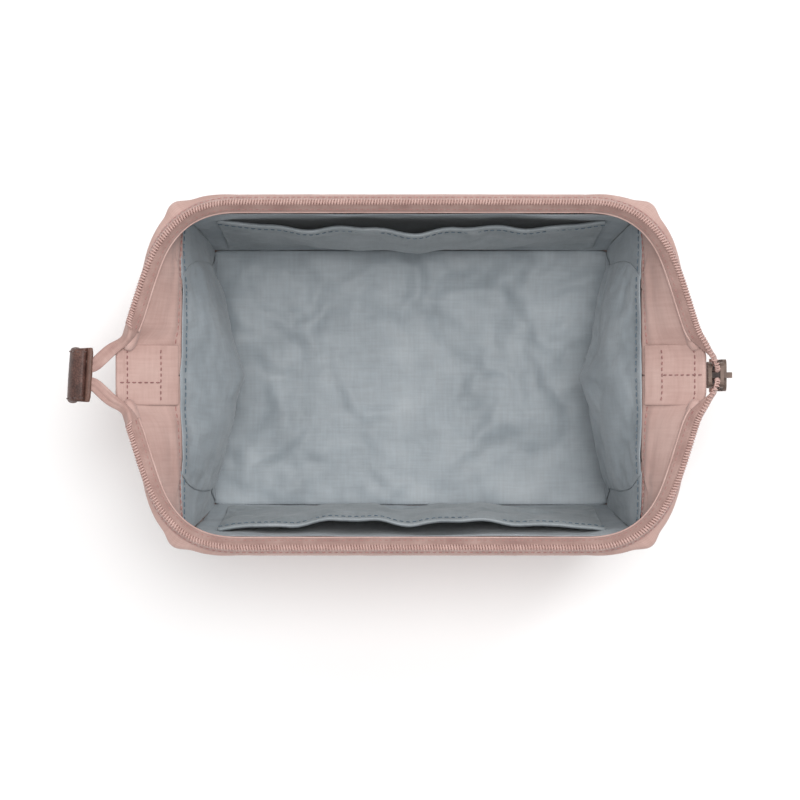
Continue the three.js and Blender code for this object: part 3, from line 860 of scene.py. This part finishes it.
def corner_piece(name, direction, side, low, high, seed, kind):
    """The part of a side between its folding middle and the wall."""
    depth, height, thick, material, _ = kind
    rows = []
    for z in spread(low, high, 40):
        far = edge_y(z) - (0.4 if depth < 2 else 2.4)
        near = min(max(0, gusset_y(z) - 3), far - 1)
        row = []
        for s in spread(0, 1, 14):
            under = 0.2 * (1 - smooth(s * 4))
            row.append(side_place(direction, side * lerp(near, far, s), z, depth + under, seed, height))
        rows.append(row)
    return grid(name, rows, material, flip=direction * side > 0, thick=thick, levels=1)


def leg_flap(name, direction, side, seed, kind):
    """Outer cloth that hangs from a leg of the wire."""
    depth, height, thick, material, _ = kind
    rows = []
    for y in spread(0.0, MOUTH_Y - 1.5, 40):
        heights = spread(flap_z(y), RIM_Z - 1, 12)
        rows.append([side_place(direction, side * min(y, edge_y(z) - 0.6), z, depth, seed, height) for z in heights])
    return grid(name, rows, material, flip=direction * side < 0, thick=thick, levels=1)


for name, direction in SIDES.items():
    seed = SIDE_SEED + 5 * direction
    middle = gusset(f"{name}_side_cloth", direction, 1.0, RIM_Z - 14, seed, OUTER)
    settle(middle, (direction, 0, 0), "side")
    finish_piece(middle, across=seam_bend(), nodes=[f"{name}_side_panel"])
    inner = gusset(f"{name}_side_lining_cloth", direction, FLOOR_Z + 0.5, FACING_Z + 1, seed + 1, INNER)
    settle(inner, (-direction, 0, 0), "side_lining", FACING_Z - 9)
    finish_piece(inner, across=seam_bend(), nodes=[f"{name}_side_lining"])
    for half, side in HALVES.items():
        corner = f"{half}_{name}_corner"
        for piece_name, low, high, piece_seed, kind in (
            (f"{corner}_cloth", 0.5, RIM_Z - 8, seed, OUTER),
            (f"{corner}_lining", FLOOR_Z + 0.5, FACING_Z + 1, seed + 1, INNER),
        ):
            piece = corner_piece(piece_name, direction, side, low, high, piece_seed, kind)
            finish_piece(piece, f"{half}_wall", squashed=wall_fold(half))
        flap = leg_flap(f"{half}_{name}_flap_cloth", direction, side, seed, FLAP)
        finish_piece(flap, across=frame_bend(half))


# ---------------------------------------------------------------- the rim's path


def rim_line(side, end_y=SEAM_HALF, count=26):
    """The wire's line in plan, from the right seam round to the left seam."""
    corner = Vector((MOUTH_X, side * MOUTH_Y, 0))
    end = Vector((leg_x(end_y), side * end_y, 0))
    bend_in = corner + (end - corner).normalized() * WIRE_BEND
    bend_out = corner + Vector((-WIRE_BEND, 0, 0))
    right = [end.lerp(bend_in, i / count) for i in range(count)]
    for i in range(count):
        t = i / count
        right.append(bend_in * (1 - t) ** 2 + corner * 2 * t * (1 - t) + bend_out * t * t)
    middle = [bend_out.lerp(Vector((0, bend_out.y, 0)), i / count) for i in range(count + 1)]
    half = right + middle
    return half + [Vector((-p.x, p.y, 0)) for p in reversed(half[:-1])]


def resample(points, step):
    """Evenly spaced places along a line."""
    run = run_along(points)
    count = max(2, round(run[-1] / step))
    out, i = [], 0
    for k in range(count + 1):
        distance = run[-1] * k / count
        while i < len(run) - 2 and run[i + 1] < distance:
            i += 1
        out.append(points[i].lerp(points[i + 1], min(1, between(run, i, distance))))
    return out


def along(points, i):
    a = points[max(0, i - 1)]
    b = points[min(len(points) - 1, i + 1)]
    return (b - a).normalized()


def outward_of(d, place):
    """The level direction out of the bag, square to d, at a place on the rim."""
    n = Vector((d.y, -d.x, 0))
    if n.length < 1e-6:
        n = Vector((1, 0, 0))
    n.normalize()
    return n if n.dot(Vector((place.x * 0.5, place.y, 0))) > 0 else -n


# ---------------------------------------------------------------- sleeve, shoulder and binding

BAND_LOW = 8.0
BAND_OUT = 4.9  # the least distance of the band's outer face from the wire
SLEEVE_SIDES = 14


def sleeve_piece(half, side):
    """The cloth tube round the wire."""
    line = resample(rim_line(side, 12.5), 4.0)
    rows = []
    for i, p in enumerate(line):
        n = outward_of(along(line, i), p)
        shrink = 0.55 if i in (0, len(line) - 1) else 1.0
        row = []
        for q in range(SLEEVE_SIDES):
            turn = math.tau * q / SLEEVE_SIDES
            r = (SLEEVE + crease((p.x, p.y, q * 6), 8, side, 0.16)) * shrink
            row.append(p + n * (r * math.cos(turn)) + Vector((0, 0, RIM_Z + r * math.sin(turn))))
        rows.append(row)
    return grid(f"{half}_wire_sleeve_cloth", rows, PINK_BAND, flip=side > 0, close=True, cap=True, levels=1)


SHELL_ROUND = 5.0


def bisect(low, high, steps, before):
    """Closes in on where before() turns false: the last place before it, and the last place tried."""
    for _ in range(steps):
        middle = (low + high) / 2
        if before(middle):
            low = middle
        else:
            high = middle
    return low, middle


def shell_gap(x, y, z):
    """How far a place is outside the shell's outline at a height, below zero inside it."""
    dx = abs(x) - side_x(y, z) + SHELL_ROUND
    dy = abs(y) - wall_y(x, z) + SHELL_ROUND
    if dx > 0 and dy > 0:
        return math.hypot(dx, dy) - SHELL_ROUND
    return max(dx, dy) - SHELL_ROUND


def shell_reach(place, away, z):
    """How far the shell is from a place, in a direction, at a height."""
    return bisect(-12.0, 30.0, 22, lambda r: shell_gap(place.x + away.x * r, place.y + away.y * r, z) < 0)[0]


def band_piece(half, side):
    """Outer cloth that turns over the sleeve at the legs and corners, and its skirt below."""
    line = resample(rim_line(side, 18), 3.0)
    rows = []
    for i, p in enumerate(line):
        n = outward_of(along(line, i), p)
        corner = smooth((abs(p.x) - 88) / 26) * smooth((abs(p.y) - 50) / 28)
        diagonal = Vector((math.copysign(1, p.x), side, 0)).normalized()
        away = n.lerp(diagonal, corner * 0.8).normalized()
        gone = smooth((abs(p.x) - 84) / 16)
        top = p + Vector((0, 0, RIM_Z))
        reach = max(BAND_OUT, shell_reach(p, away, RIM_Z - 2)) + 2.6 * corner
        pucker = crease((p.x * 1.4, p.y * 1.4, 0), 9, BAND_SEED + side, 0.18)
        flat = clamp((reach - BAND_OUT) / 4)
        profile = [
            (1.9, 4.45),
            (2.9, 4.1),
            (lerp(3.9, reach * 0.55, flat), lerp(3.1, 3.5, flat)),
            (reach * 0.88, lerp(2.0, 2.3, flat)),
            (reach * 0.985, 0.8),
            (reach, -1.2),
        ]
        for step, fade in ((0.3, 0.75), (0.62, 0.35), (1.0, 0.0)):
            drop = -lerp(1.4 + 2.4 * step, BAND_LOW * step + 1.2, gone)
            near = shell_reach(p, away, RIM_Z + drop)
            near = max(4.5, near) if gone < 1 else near
            profile.append((lerp(near + 0.75, reach, fade * gone), drop))
        rows.append([top + away * (r + pucker * (0.3 + 0.1 * r)) + Vector((0, 0, z)) for r, z in profile])
    return grid(f"{half}_rim_binding", rows, PINK, flip=side < 0, thick=0.8, levels=1)


for half, side in HALVES.items():
    bend = frame_bend(half)
    finish_piece(sleeve_piece(half, side), across=bend, nodes=[f"{half}_wire_sleeve"])
    finish_piece(band_piece(half, side), across=bend)


# ---------------------------------------------------------------- zip tape and coil


def catmull(rows, step):
    """A smooth run through rows of three vectors."""
    out = []
    for i in range(len(rows) - 1):
        a, b, c, d = rows[max(0, i - 1)], rows[i], rows[i + 1], rows[min(len(rows) - 1, i + 2)]
        count = max(1, round((c[0] - b[0]).length / step))
        for k in range(count):
            t = k / count
            mixed = []
            for pa, pb, pc, pd in zip(a, b, c, d):
                bow, turn = 2 * pa - 5 * pb + 4 * pc - pd, 3 * pb - pa - 3 * pc + pd
                mixed.append(0.5 * (2 * pb + (pc - pa) * t + bow * t * t + turn * t**3))
            out.append(mixed)
    out.append(list(rows[-1]))
    return out


LEG_LEAN = 0.22  # how far the tape leans outwards along the legs
# The tape in section, out and up from the sleeve's middle: over the sleeve, and flat at its ends
TENT = [
    (3.9, 3.0), (2.5, 5.2), (1.5, 7.6), (1.25, 9.4), (-0.2, 9.7), (-1.3, 8.8), (-2.3, 6.8), (-3.4, 4.8), (-4.4, 2.9)
]
FLAT = [
    (0.3, -3.7), (1.1, -3.0), (0.9, -1.9), (0.35, -1.1), (0.95, -0.2), (1.1, 0.9), (0.45, 1.8), (0.8, 2.7), (0.1, 3.5)
]
PLAIN = [
    (0.35, -3.6), (0.4, -2.7), (0.4, -1.8), (0.4, -0.9), (0.4, 0.0), (0.4, 0.9), (0.4, 1.8), (0.3, 2.6), (0.2, 3.2)
]


def zip_path(side):
    """Place, up direction and flatness (0 a tent over the sleeve, 1 a flat tape) along one half's zip."""
    up = Vector((0, 0, 1))
    rim = rim_line(side, 30, 12)
    tab_x = TAB_HIGH.x
    slide_x = (SLIDER_LOW.x + SLIDER_HIGH.x) / 2 - 2.4
    to_middle = Vector((0, -side, 0))
    deep = STOP_LOW.z + 3
    # out from the middle of the bag, along the rim, up; the direction the tape's edge faces; flatness
    right = [
        (slide_x, 5.5, deep, to_middle, 1.0),
        (slide_x, 5.5, deep + 10, to_middle, 1.0),
        (slide_x, 5.5, RIM_Z - 14, to_middle, 1.0),
        (slide_x - 0.2, 5.8, RIM_Z - 5, to_middle, 1.0),
        (slide_x - 1.4, 8.5, RIM_Z + 0.6, (to_middle * 0.7 + up * 0.7).normalized(), 0.85),
        (slide_x - 6.5, 15, RIM_Z + 1.2, (to_middle * 0.2 + up).normalized(), 0.45),
        (leg_x(22) + 0.6, 22, RIM_Z + 0.4, up, 0.12),
    ]
    left = [
        (-leg_x(26) - 0.4, 26, RIM_Z + 0.4, up, 0.08),
        (-leg_x(20) - 3.0, 19.0, RIM_Z + 1.6, (up * 0.8 + to_middle * 0.7).normalized(), 0.5),
        (-leg_x(18) - 9.5, 13.0, RIM_Z + 2.2, (up * 0.25 + to_middle).normalized(), 0.95),
        (-leg_x(18) - 15.5, 7.6, RIM_Z + 1.9, (to_middle + Vector((0.5, 0, 0.1))).normalized(), 1.0),
        (tab_x + 1, 4.6, RIM_Z + 1.2, (to_middle + Vector((0.2, 0, 0.1))).normalized(), 1.0),
        (tab_x - 3, 4.3, RIM_Z + 0.9, to_middle, 1.0),
    ]
    right, left = [
        [(Vector((x, side * y, z)), facing, Vector((flat, 0, 0))) for x, y, z, facing, flat in end] for end in (right, left)
    ]
    middle = [(p + Vector((0, 0, RIM_Z)), up, Vector()) for p in rim]
    return catmull(right + middle + left, 3.0)


def facing_as(out, last):
    """The same direction or its opposite, whichever goes on from the last one, or points right at the start."""
    return -out if (out.x if last is None else out.dot(last)) < 0 else out


def zip_frames(side):
    """(place, out, up, flatness, ahead) along the zip, with square axes."""
    path = zip_path(side)
    frames = []
    last = None
    for i, (place, up, flat) in enumerate(path):
        ahead = path[min(len(path) - 1, i + 1)][0] - path[max(0, i - 1)][0]
        ahead.normalize()
        up = (up - ahead * up.dot(ahead)).normalized()
        out = facing_as(ahead.cross(up).normalized(), last)
        leg = LEG_LEAN * (1 - clamp(flat.x)) * (1 - smooth((abs(place.y) - 44) / 36))
        up = (up + out * leg).normalized()
        last = facing_as((out - up * out.dot(up)).normalized(), last)
        frames.append((place, last, up, clamp(flat.x), ahead))
    return frames


def tape_piece(half, side, frames):
    rows = []
    for place, out, up, flat, _ in frames:
        row = []
        for (a, b), (c, d) in zip(TENT, FLAT if place.x < 0 else PLAIN):
            r, h = lerp(a, c, smooth(flat)), lerp(b, d, smooth(flat))
            row.append(place + out * r + up * h)
        rows.append(row)
    return grid(f"{half}_zip_tape_cloth", rows, PINK_TAPE, flip=side > 0, thick=0.75, offset=0.0, levels=1)


TURN_STEPS, COIL_SIDES = 9, 5
COIL_WIDE, COIL_TALL, COIL_THREAD = 1.4, 0.8, 0.44


def coil_piece(half, side, frames):
    """The nylon coil: one thread wound along the tape's edge."""
    frames = [f for f in frames if f[0].x > 0 or f[3] < 0.5]
    run = run_along([f[0] for f in frames])
    count = int(run[-1] / COIL_PITCH * TURN_STEPS)
    rows, i = [], 0
    for k in range(count + 1):
        distance = 2 + (run[-1] - 4) * k / count
        while i < len(run) - 2 and run[i + 1] < distance:
            i += 1
        t = between(run, i, distance)
        a, b = frames[i], frames[i + 1]
        place = a[0].lerp(b[0], t)
        out, up, ahead = [a[n].lerp(b[n], t).normalized() for n in (1, 2, 4)]
        flat = smooth(lerp(a[3], b[3], t))
        turn = math.tau * k / TURN_STEPS
        height = lerp(COIL_TOP - 0.1, 3.5, flat) + COIL_TALL * math.sin(turn)
        shift = lerp(0.1, 0.9, flat) + COIL_WIDE * math.cos(turn) * lerp(1, 0.8, flat)
        centre = place + up * height + out * shift
        radial = (out * math.cos(turn) + up * math.sin(turn)).normalized()
        spokes = [math.tau * q / COIL_SIDES for q in range(COIL_SIDES)]
        rows.append([centre + (radial * math.cos(w) + ahead * math.sin(w)) * COIL_THREAD for w in spokes])
    return grid(f"{half}_zip_coil_thread", rows, COIL, flip=side > 0, close=True, cap=True)


# Between which places of TENT the two rows of stitches run, how far along, and to which side they face
TAPE_ROWS = {"outer": (0, 2, 0.35, 1), "inner": (5, 8, 0.62, -1)}

for half, side in HALVES.items():
    bend = frame_bend(half)
    frames = zip_frames(side)
    ends = [f"{half}_left_tape_end", f"{half}_right_tape_end"]
    finish_piece(tape_piece(half, side, frames), across=bend, nodes=[f"{half}_zip_tape"] + ends)
    finish_piece(coil_piece(half, side, frames), across=bend, nodes=[f"{half}_zip_coil"])
    # the rounded inner edge of the tape, bound and stitched down
    steady = [f for f in frames if f[3] < 0.3]
    edge = [f[0] + f[1] * TENT[-1][0] + f[2] * (TENT[-1][1] - 0.2) for f in steady]
    piping = cord_piece(f"{half}_tape_edge", edge, [(f[1], f[2]) for f in steady], 0.75, side)
    finish_piece(piping, across=bend)
    for row_name, (first, last, mix, facing) in TAPE_ROWS.items():
        a, b = TENT[first], TENT[last]
        line = [f[0] + f[1] * lerp(a[0], b[0], mix) + f[2] * (lerp(a[1], b[1], mix) + 0.5) for f in steady]
        ups = [(f[1] * facing + f[2] * 0.7).normalized() for f in steady]
        seam = stitch_line(f"{half}_tape_{row_name}_stitches", line, ups, PINK_THREAD, "tape")
        finish_piece(seam, across=bend)


# ---------------------------------------------------------------- facings and patches


def rim_inner_x(y):
    """How far out the sleeve's inner side is, for a distance from the middle."""
    y = abs(y)
    corner = Vector((MOUTH_X, MOUTH_Y, 0))
    start = corner + Vector((EAR, -MOUTH_Y, 0)).normalized() * WIRE_BEND
    if y <= start.y:
        return leg_x(y) - 3.4
    stop = Vector((MOUTH_X - WIRE_BEND, MOUTH_Y, 0))

    def bend(t):
        return start * (1 - t) ** 2 + corner * 2 * t * (1 - t) + stop * t * t

    return bend(bisect(0.0, 1.0, 24, lambda t: bend(t).y < y)[1]).x - 2.2


# For each side seam: how far out the facing reaches there, and up to what distance from the middle
MOUTH_ENDS = {-1: (153.6, 15.0), 1: (152.6, 9.0)}


def mouth_end(direction, y):
    """How far out the facing's upper edge is: near the side seam it runs on past the wire, to the zip."""
    reach, level = MOUTH_ENDS[direction]
    return lerp(rim_inner_x(y), reach, 1 - smooth((abs(y) - level) / (27 - level)))


def facing_place(direction, side, y, share):
    """A place on a facing. share runs from the lining's seam to the sleeve."""
    low = side_x(y, FACING_Z) - INSIDE + 1.0
    near = y / MOUTH_Y
    bow = 2.2 * math.sin(math.pi * share) * (1 - near)
    fold = 1.1 * math.exp(-(((share - 0.3) / 0.09) ** 2)) * math.sin(math.pi * clamp(near + 0.12))
    z = lerp(FACING_Z - 1.5, RIM_Z + 0.5, share)
    x = lerp(low, mouth_end(direction, y), share) - bow - fold
    x += crease((0, y, z * 2), 15, FACING_SEED + side + direction, 0.5) * math.sin(math.pi * share)
    return Vector((direction * x, side * y, z))


FACING_END = 87.0
FACING_TALL = RIM_Z + 2 - FACING_Z
FACING_FOLD = 46.0  # where the part that goes with the wall begins


def facing_split(y):
    """The share of the facing's height below which it goes with the wall and not with the wire."""
    return clamp((RIM_Z - 33 * fold_share(y) - FACING_Z + 1.5) / FACING_TALL)


def facing_piece(name, direction, side):
    """The part that hangs from the wire's leg."""
    rows = []
    for y in spread(0.0, FACING_END, 46):
        low = max(0, facing_split(y) - 0.04)
        rows.append([facing_place(direction, side, y, share) for share in spread(low, 1, 14)])
    return grid(name, rows, PINK, flip=direction * side < 0, thick=1.0, offset=1.0, levels=1)


def facing_corner(name, direction, side):
    """The part below it, next to the wall. Its upper end lies behind the other part."""
    rows = []
    for y in spread(FACING_FOLD, FACING_END, 24):
        high = max(0.04, facing_split(y) + 0.03)
        row = [facing_place(direction, side, y, share) for share in spread(0, high, 12)]
        behind = [direction * 0.5 * smooth(3 - 3 * (12 - i) / 12) for i in range(13)]
        rows.append([p + Vector((x, 0, 0)) for p, x in zip(row, behind)])
    return grid(name, rows, PINK, flip=direction * side < 0, thick=0.8, offset=1.0, levels=1)


def patch_place(direction, y, share, lift):
    """A place on the patch over a side seam. share runs from its lower edge to the mouth's edge."""
    z = lerp(FACING_Z + 2.5, RIM_Z + 1.4, share)
    rise = (z - FACING_Z) / (RIM_Z - FACING_Z)
    x = lerp(side_x(y, FACING_Z) - INSIDE, mouth_end(direction, y), rise)
    x = x - 2.4 * math.sin(math.pi * min(1, rise)) - 0.8
    x += crease((0, y, z * 2), 12, PATCH_SEED + direction, 0.25) * math.sin(math.pi * share)
    return Vector((direction * (x - 0.6 * lift), y, z + 0.8 * lift))


def patch_piece(name, direction):
    rows = []
    for s in spread(-1, 1, 20):
        row = [patch_place(direction, s * SEAM_HALF, share, 0.5) for share in spread(0, 1, 18)]
        row.append(row[-1] + Vector((direction * 0.9, 0, -1.2)))
        row.append(row[-1] + Vector((direction * 0.2, 0, -4)))
        rows.append(row)
    return grid(name, rows, PINK, flip=direction < 0, thick=0.8, offset=0.0, levels=1)


PATCH_MIDDLE = {-1: -4.0, 1: 0.0}
STITCH_LIFT = 1.2


def patch_stitches(name, direction):
    """Lines of stitches along the patch's outer edge and its fold, and across its middle."""
    lines = {"edge": [(y, 0.86) for y in spread(-14, 14, 24)], "fold": [(y, 0.36) for y in spread(-14, 14, 24)]}
    lines["across"] = [(PATCH_MIDDLE[direction], share) for share in spread(0.36, 0.98, 24)]
    for line_name, places in lines.items():
        line = [patch_place(direction, y, share, STITCH_LIFT) for y, share in places]
        ups = [Vector((-direction * 0.6, 0, 0.8)).normalized()] * len(line)
        seam = stitch_line(f"{name}_patch_{line_name}_stitches", line, ups, DARK_THREAD, "patch")
        finish_piece(seam, "side_seams")


SEAM_END = 83.0  # where the stitches beside the lining's seam stop, from the middle


def facing_stitches(half, name):
    """Stitches beside the lining's seam, on the facing and on the lining, each with the cloth it holds."""
    direction, side = SIDES[name], HALVES[half]
    slope = Vector((-direction * 0.7, 0, 0.7)).normalized()
    level = Vector((-direction, 0, 0.35)).normalized()
    grey_z = FACING_Z - 3.5
    grey_split = gusset_y(grey_z) - 2
    for part, start, end in (("middle", 1.0, FACING_FOLD), ("corner", FACING_FOLD + 2, SEAM_END)):
        line = [facing_place(direction, side, y, 0.15) + slope * 1.1 for y in spread(start, end, 24)]
        seam = stitch_line(f"{half}_{name}_facing_{part}_stitches", line, [slope] * 25, PINK_THREAD, "lining")
        if part == "middle":
            finish_piece(seam, across=frame_bend(half))
        else:
            finish_piece(seam, f"{half}_wall", squashed=wall_fold(half))
    depth, height = INNER[:2]
    for part, start, end, over in (("middle", 1.0, grey_split, 1.1), ("corner", grey_split + 2, SEAM_END, 0.4)):
        off = Vector((direction * over, 0, 0))
        seed = SIDE_SEED + 1 + 5 * direction
        places = [side_place(direction, side * y, grey_z, depth, seed, height) for y in spread(start, end, 24)]
        line = [p - off for p in places]
        seam = stitch_line(f"{half}_{name}_lining_{part}_stitches", line, [level] * 25, GREY_THREAD, "lining")
        if part == "middle":
            finish_piece(seam, across=seam_bend())
        else:
            finish_piece(seam, f"{half}_wall", squashed=wall_fold(half))


for name, direction in SIDES.items():
    for half, side in HALVES.items():
        facing = facing_piece(f"{half}_{name}_facing_cloth", direction, side)
        finish_piece(facing, across=frame_bend(half), nodes=[f"{half}_{name}_facing"])
        corner = facing_corner(f"{half}_{name}_facing_corner", direction, side)
        finish_piece(corner, f"{half}_wall", squashed=wall_fold(half))
        facing_stitches(half, name)


# ---------------------------------------------------------------- wall linings and pockets


LINING_TURN = 150  # height above which a wall's lining leans in under the rim
LINING_TOP = 156.0


def lining_y(x, z, side):
    """How far a wall's lining is from the middle."""
    return wall_y(x, z) - INSIDE - 0.3 + crease((x, side * 90, z * 0.8), 30, LINING_SEED + side, 1.3) * fades(z)


def wall_lining(half, side):
    rows = []
    for z in [FLOOR_Z + 0.4] + spread(FLOOR_Z + 4, LINING_TURN, 28) + [153.5, LINING_TOP]:
        half_x = edge_x(min(z, LINING_TURN)) - 2.2
        over = clamp((z - LINING_TURN) / (LINING_TOP - LINING_TURN))
        row = []
        for s in spread(-1, 1, 64):
            x = s * half_x
            drop = max(0, abs(x) - 96) / 24 * 13
            height = z - drop * smooth((z - 120) / 36)
            row.append(Vector((x, side * (lining_y(x, height, side) - 1.6 * over), height)))
        rows.append(row)
    piece = grid(f"{half}_wall_lining_cloth", rows, GREY, flip=side < 0, thick=LINING_THICK, offset=1.0, levels=1)
    settle(piece, (0, -side, 0), "wall_lining")
    finish_piece(piece, f"{half}_wall", nodes=[f"{half}_lining"])


def pocket_gap(x, share, side):
    """How far the pocket stands off the lining. Its elastic hem gathers it to the dividers."""
    half = POCKET_HIGH.x
    edge = math.sin(math.pi * clamp((x + half) / (2 * half)))
    belly = 8.0 * edge**0.6 * min(1, 2.5 * share)
    gather = math.sin(x * 0.21 + side) * 0.8 + math.sin(x * 0.097 + 1.3 * side) * 1.6
    return max(1.0, belly + gather * smooth(share * 1.4) * edge)


# A pocket's hem in section: out from the cloth, and up from its upper edge
HEM = ((-1.0, -6.5), (-1.5, -3.5), (-1.3, -0.4), (-0.3, 0.9), (0.9, 0.2), (1.3, -3), (0.9, -6.2))


def pocket_piece(half, side):
    body = f"{half}_wall"
    rows = []
    low, high = POCKET_LOW.z, POCKET_HIGH.z
    for z in spread(low, high, 30):
        share = (z - low) / (high - low)
        row = []
        for x in spread(-POCKET_HIGH.x, POCKET_HIGH.x, 110):
            y = lining_y(x, z, side) - pocket_gap(x, share, side)
            y -= crease((x, side * 50, z * 0.5), 14, POCKET_SEED + side, 0.7) * math.sin(math.pi * clamp(share * 1.1))
            dip = 1.4 * math.sin(x * 0.11 + side) * share
            row.append(Vector((x, side * y, z + dip * share)))
        rows.append(row)
    name = f"{half}_pocket_cloth"
    pocket = grid(name, rows, GREY_POCKET, flip=side < 0, thick=LINING_THICK, offset=1.0, levels=1)
    settle(pocket, (0, -side, 0), "pocket")
    finish_piece(pocket, body, nodes=[f"{half}_pocket"])
    top = rows[-1]
    rows = [[p + Vector((0, side * (r + 0.1 * math.sin(p.x * 1.9)), z)) for r, z in HEM] for p in top]
    hem = grid(f"{half}_pocket_hem", rows, GREY_POCKET, flip=side > 0, close=True, cap=True, levels=1)
    finish_piece(hem, body, nodes=[f"{half}_pocket_elastic"])
    line = [p + Vector((0, -side * 1.6, -5.6)) for p in top]
    ups = [Vector((0, -side, 0.1)).normalized()] * len(line)
    finish_piece(stitch_line(f"{half}_pocket_stitches", line, ups, GREY_THREAD, "pocket"), body)


def lining_stitches(half, side):
    """The seam just under the rim, seen from above as a fine line on the lining."""
    z = RIM_Z - 9
    over = 1.6 * (z - LINING_TURN) / (LINING_TOP - LINING_TURN)
    line = [Vector((x, side * (lining_y(x, z, side) - over - 0.8), z)) for x in spread(-92, 92, 90)]
    ups = [Vector((0, -side, 0.4)).normalized()] * len(line)
    seam = stitch_line(f"{half}_lining_stitches", line, ups, GREY_THREAD, "lining")
    finish_piece(seam, f"{half}_wall")


for half, side in HALVES.items():
    wall_lining(half, side)
    lining_stitches(half, side)
    pocket_piece(half, side)


for name, direction in SIDES.items():
    nodes = [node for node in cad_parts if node.endswith(f"{name}_seam_patch")]
    finish_piece(patch_piece(f"{name}_patch_cloth", direction), "side_seams", nodes=nodes)
    patch_stitches(name, direction)


# ---------------------------------------------------------------- leather tab


def tab_line():
    """The tab's middle line in side view: level over the tapes' ends, then hanging down."""
    near, far = TAB_HIGH.x, TAB_LOW.x + 2.4
    top = TAB_HIGH.z - 2.2
    rows = [(near, top), (near - 3, top + 0.1), (near - 6.5, top - 0.1), (near - 9.4, top - 1.6)]
    rows += [(far + 0.4, top - 5.2), (far, top - 10), (far + 0.3, top - 16), (far + 0.9, TAB_LOW.z + 2.2)]
    return [row[0] for row in catmull([(Vector((x, 0, z)),) * 3 for x, z in rows], 1.3)]


TAB_SIDES = 32
TAB_SKEW = 0.06  # the tab is pulled a little askew
TAB_EDGE = 0.86  # how far out on it the stitches are, as a share


def tab_rings():
    """Sections of the tab along its line: (ring, normal, middle, half width, half thickness)."""
    line = tab_line()
    rings = []
    half_y = (TAB_HIGH.y - TAB_LOW.y) / 2
    for i, place in enumerate(line):
        ahead = along(line, i)
        normal = Vector((-ahead.z, 0, ahead.x))
        normal = normal if normal.z > 0 or normal.x < 0 else -normal
        share = i / (len(line) - 1)
        end = smooth((share - 0.9) / 0.1)
        wide = half_y * (1 - 0.03 * math.sin(share * 6) - 0.1 * end)
        thick = 2.15 * (1 - 0.25 * end)
        ring = []
        for q in range(TAB_SIDES):
            turn = math.tau * q / TAB_SIDES
            c, d = math.cos(turn), math.sin(turn)
            y = wide * math.copysign(abs(c) ** 0.3, c)
            h = thick * math.copysign(abs(d) ** 0.5, d) * (1 - 0.18 * abs(c) ** 6)
            spot = place + normal * (h + crease((share * 30, y, h), 8, TAB_SEED, 0.3)) + Vector((0, y, 0))
            ring.append(spot + Vector((TAB_SKEW * y, 0, 0)))
        rings.append((ring, normal, place, wide, thick))
    return rings


def tab_seam(name, places):
    """Stitches on the tab, through places given as (ring, distance across, height)."""
    points = [ring[2] + Vector((TAB_SKEW * y, y, 0)) + ring[1] * height for ring, y, height in places]
    seam = stitch_line(f"tab_{name}_stitches", points, [ring[1] for ring, _, _ in places], LEATHER_THREAD, "tab")
    finish_piece(seam, "side_seams")


# A strip of leather doubled over the tapes' ends, with rounded edges, sewn across its mouth and along both edges
RINGS = tab_rings()
tab = grid("leather_tab", [ring[0] for ring in RINGS], LEATHER, close=True, cap=True, levels=1)
finish_piece(tab, "side_seams", nodes=["leather_end_tab"])
mouth = RINGS[2]
tab_seam("across", [(mouth, s * mouth[3], mouth[4] + 0.05) for s in spread(-TAB_EDGE, TAB_EDGE, 16)])
for name, edge in (("front", -1), ("rear", 1)):
    tab_seam(name, [(ring, edge * ring[3] * TAB_EDGE, ring[4] * 0.96) for ring in RINGS[2:-3]])


# ---------------------------------------------------------------- carried-over nodes


def dress(node, material, bevel=0.0):
    """Gives a CAD node its material, and rounds its edges by a modifier."""
    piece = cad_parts[node]
    piece.data.materials.clear()
    piece.data.materials.append(material)
    if bevel:
        edge = piece.modifiers.new("edges", "BEVEL")
        edge.width = bevel * MM
        edge.segments = 3
        edge.limit_method = "ANGLE"
        edge.angle_limit = math.radians(30)
        edge.harden_normals = False


for half in HALVES:
    dress(f"{half}_frame_wire", STEEL)
    for name in SIDES:
        dress(f"{half}_{name}_wire_cap", VINYL)
dress("base_board", BOARD, 0.3)
dress("zip_slider", METAL, 0.45)
dress("zip_puller", METAL, 0.6)
dress("zip_bottom_stop", METAL, 0.3)
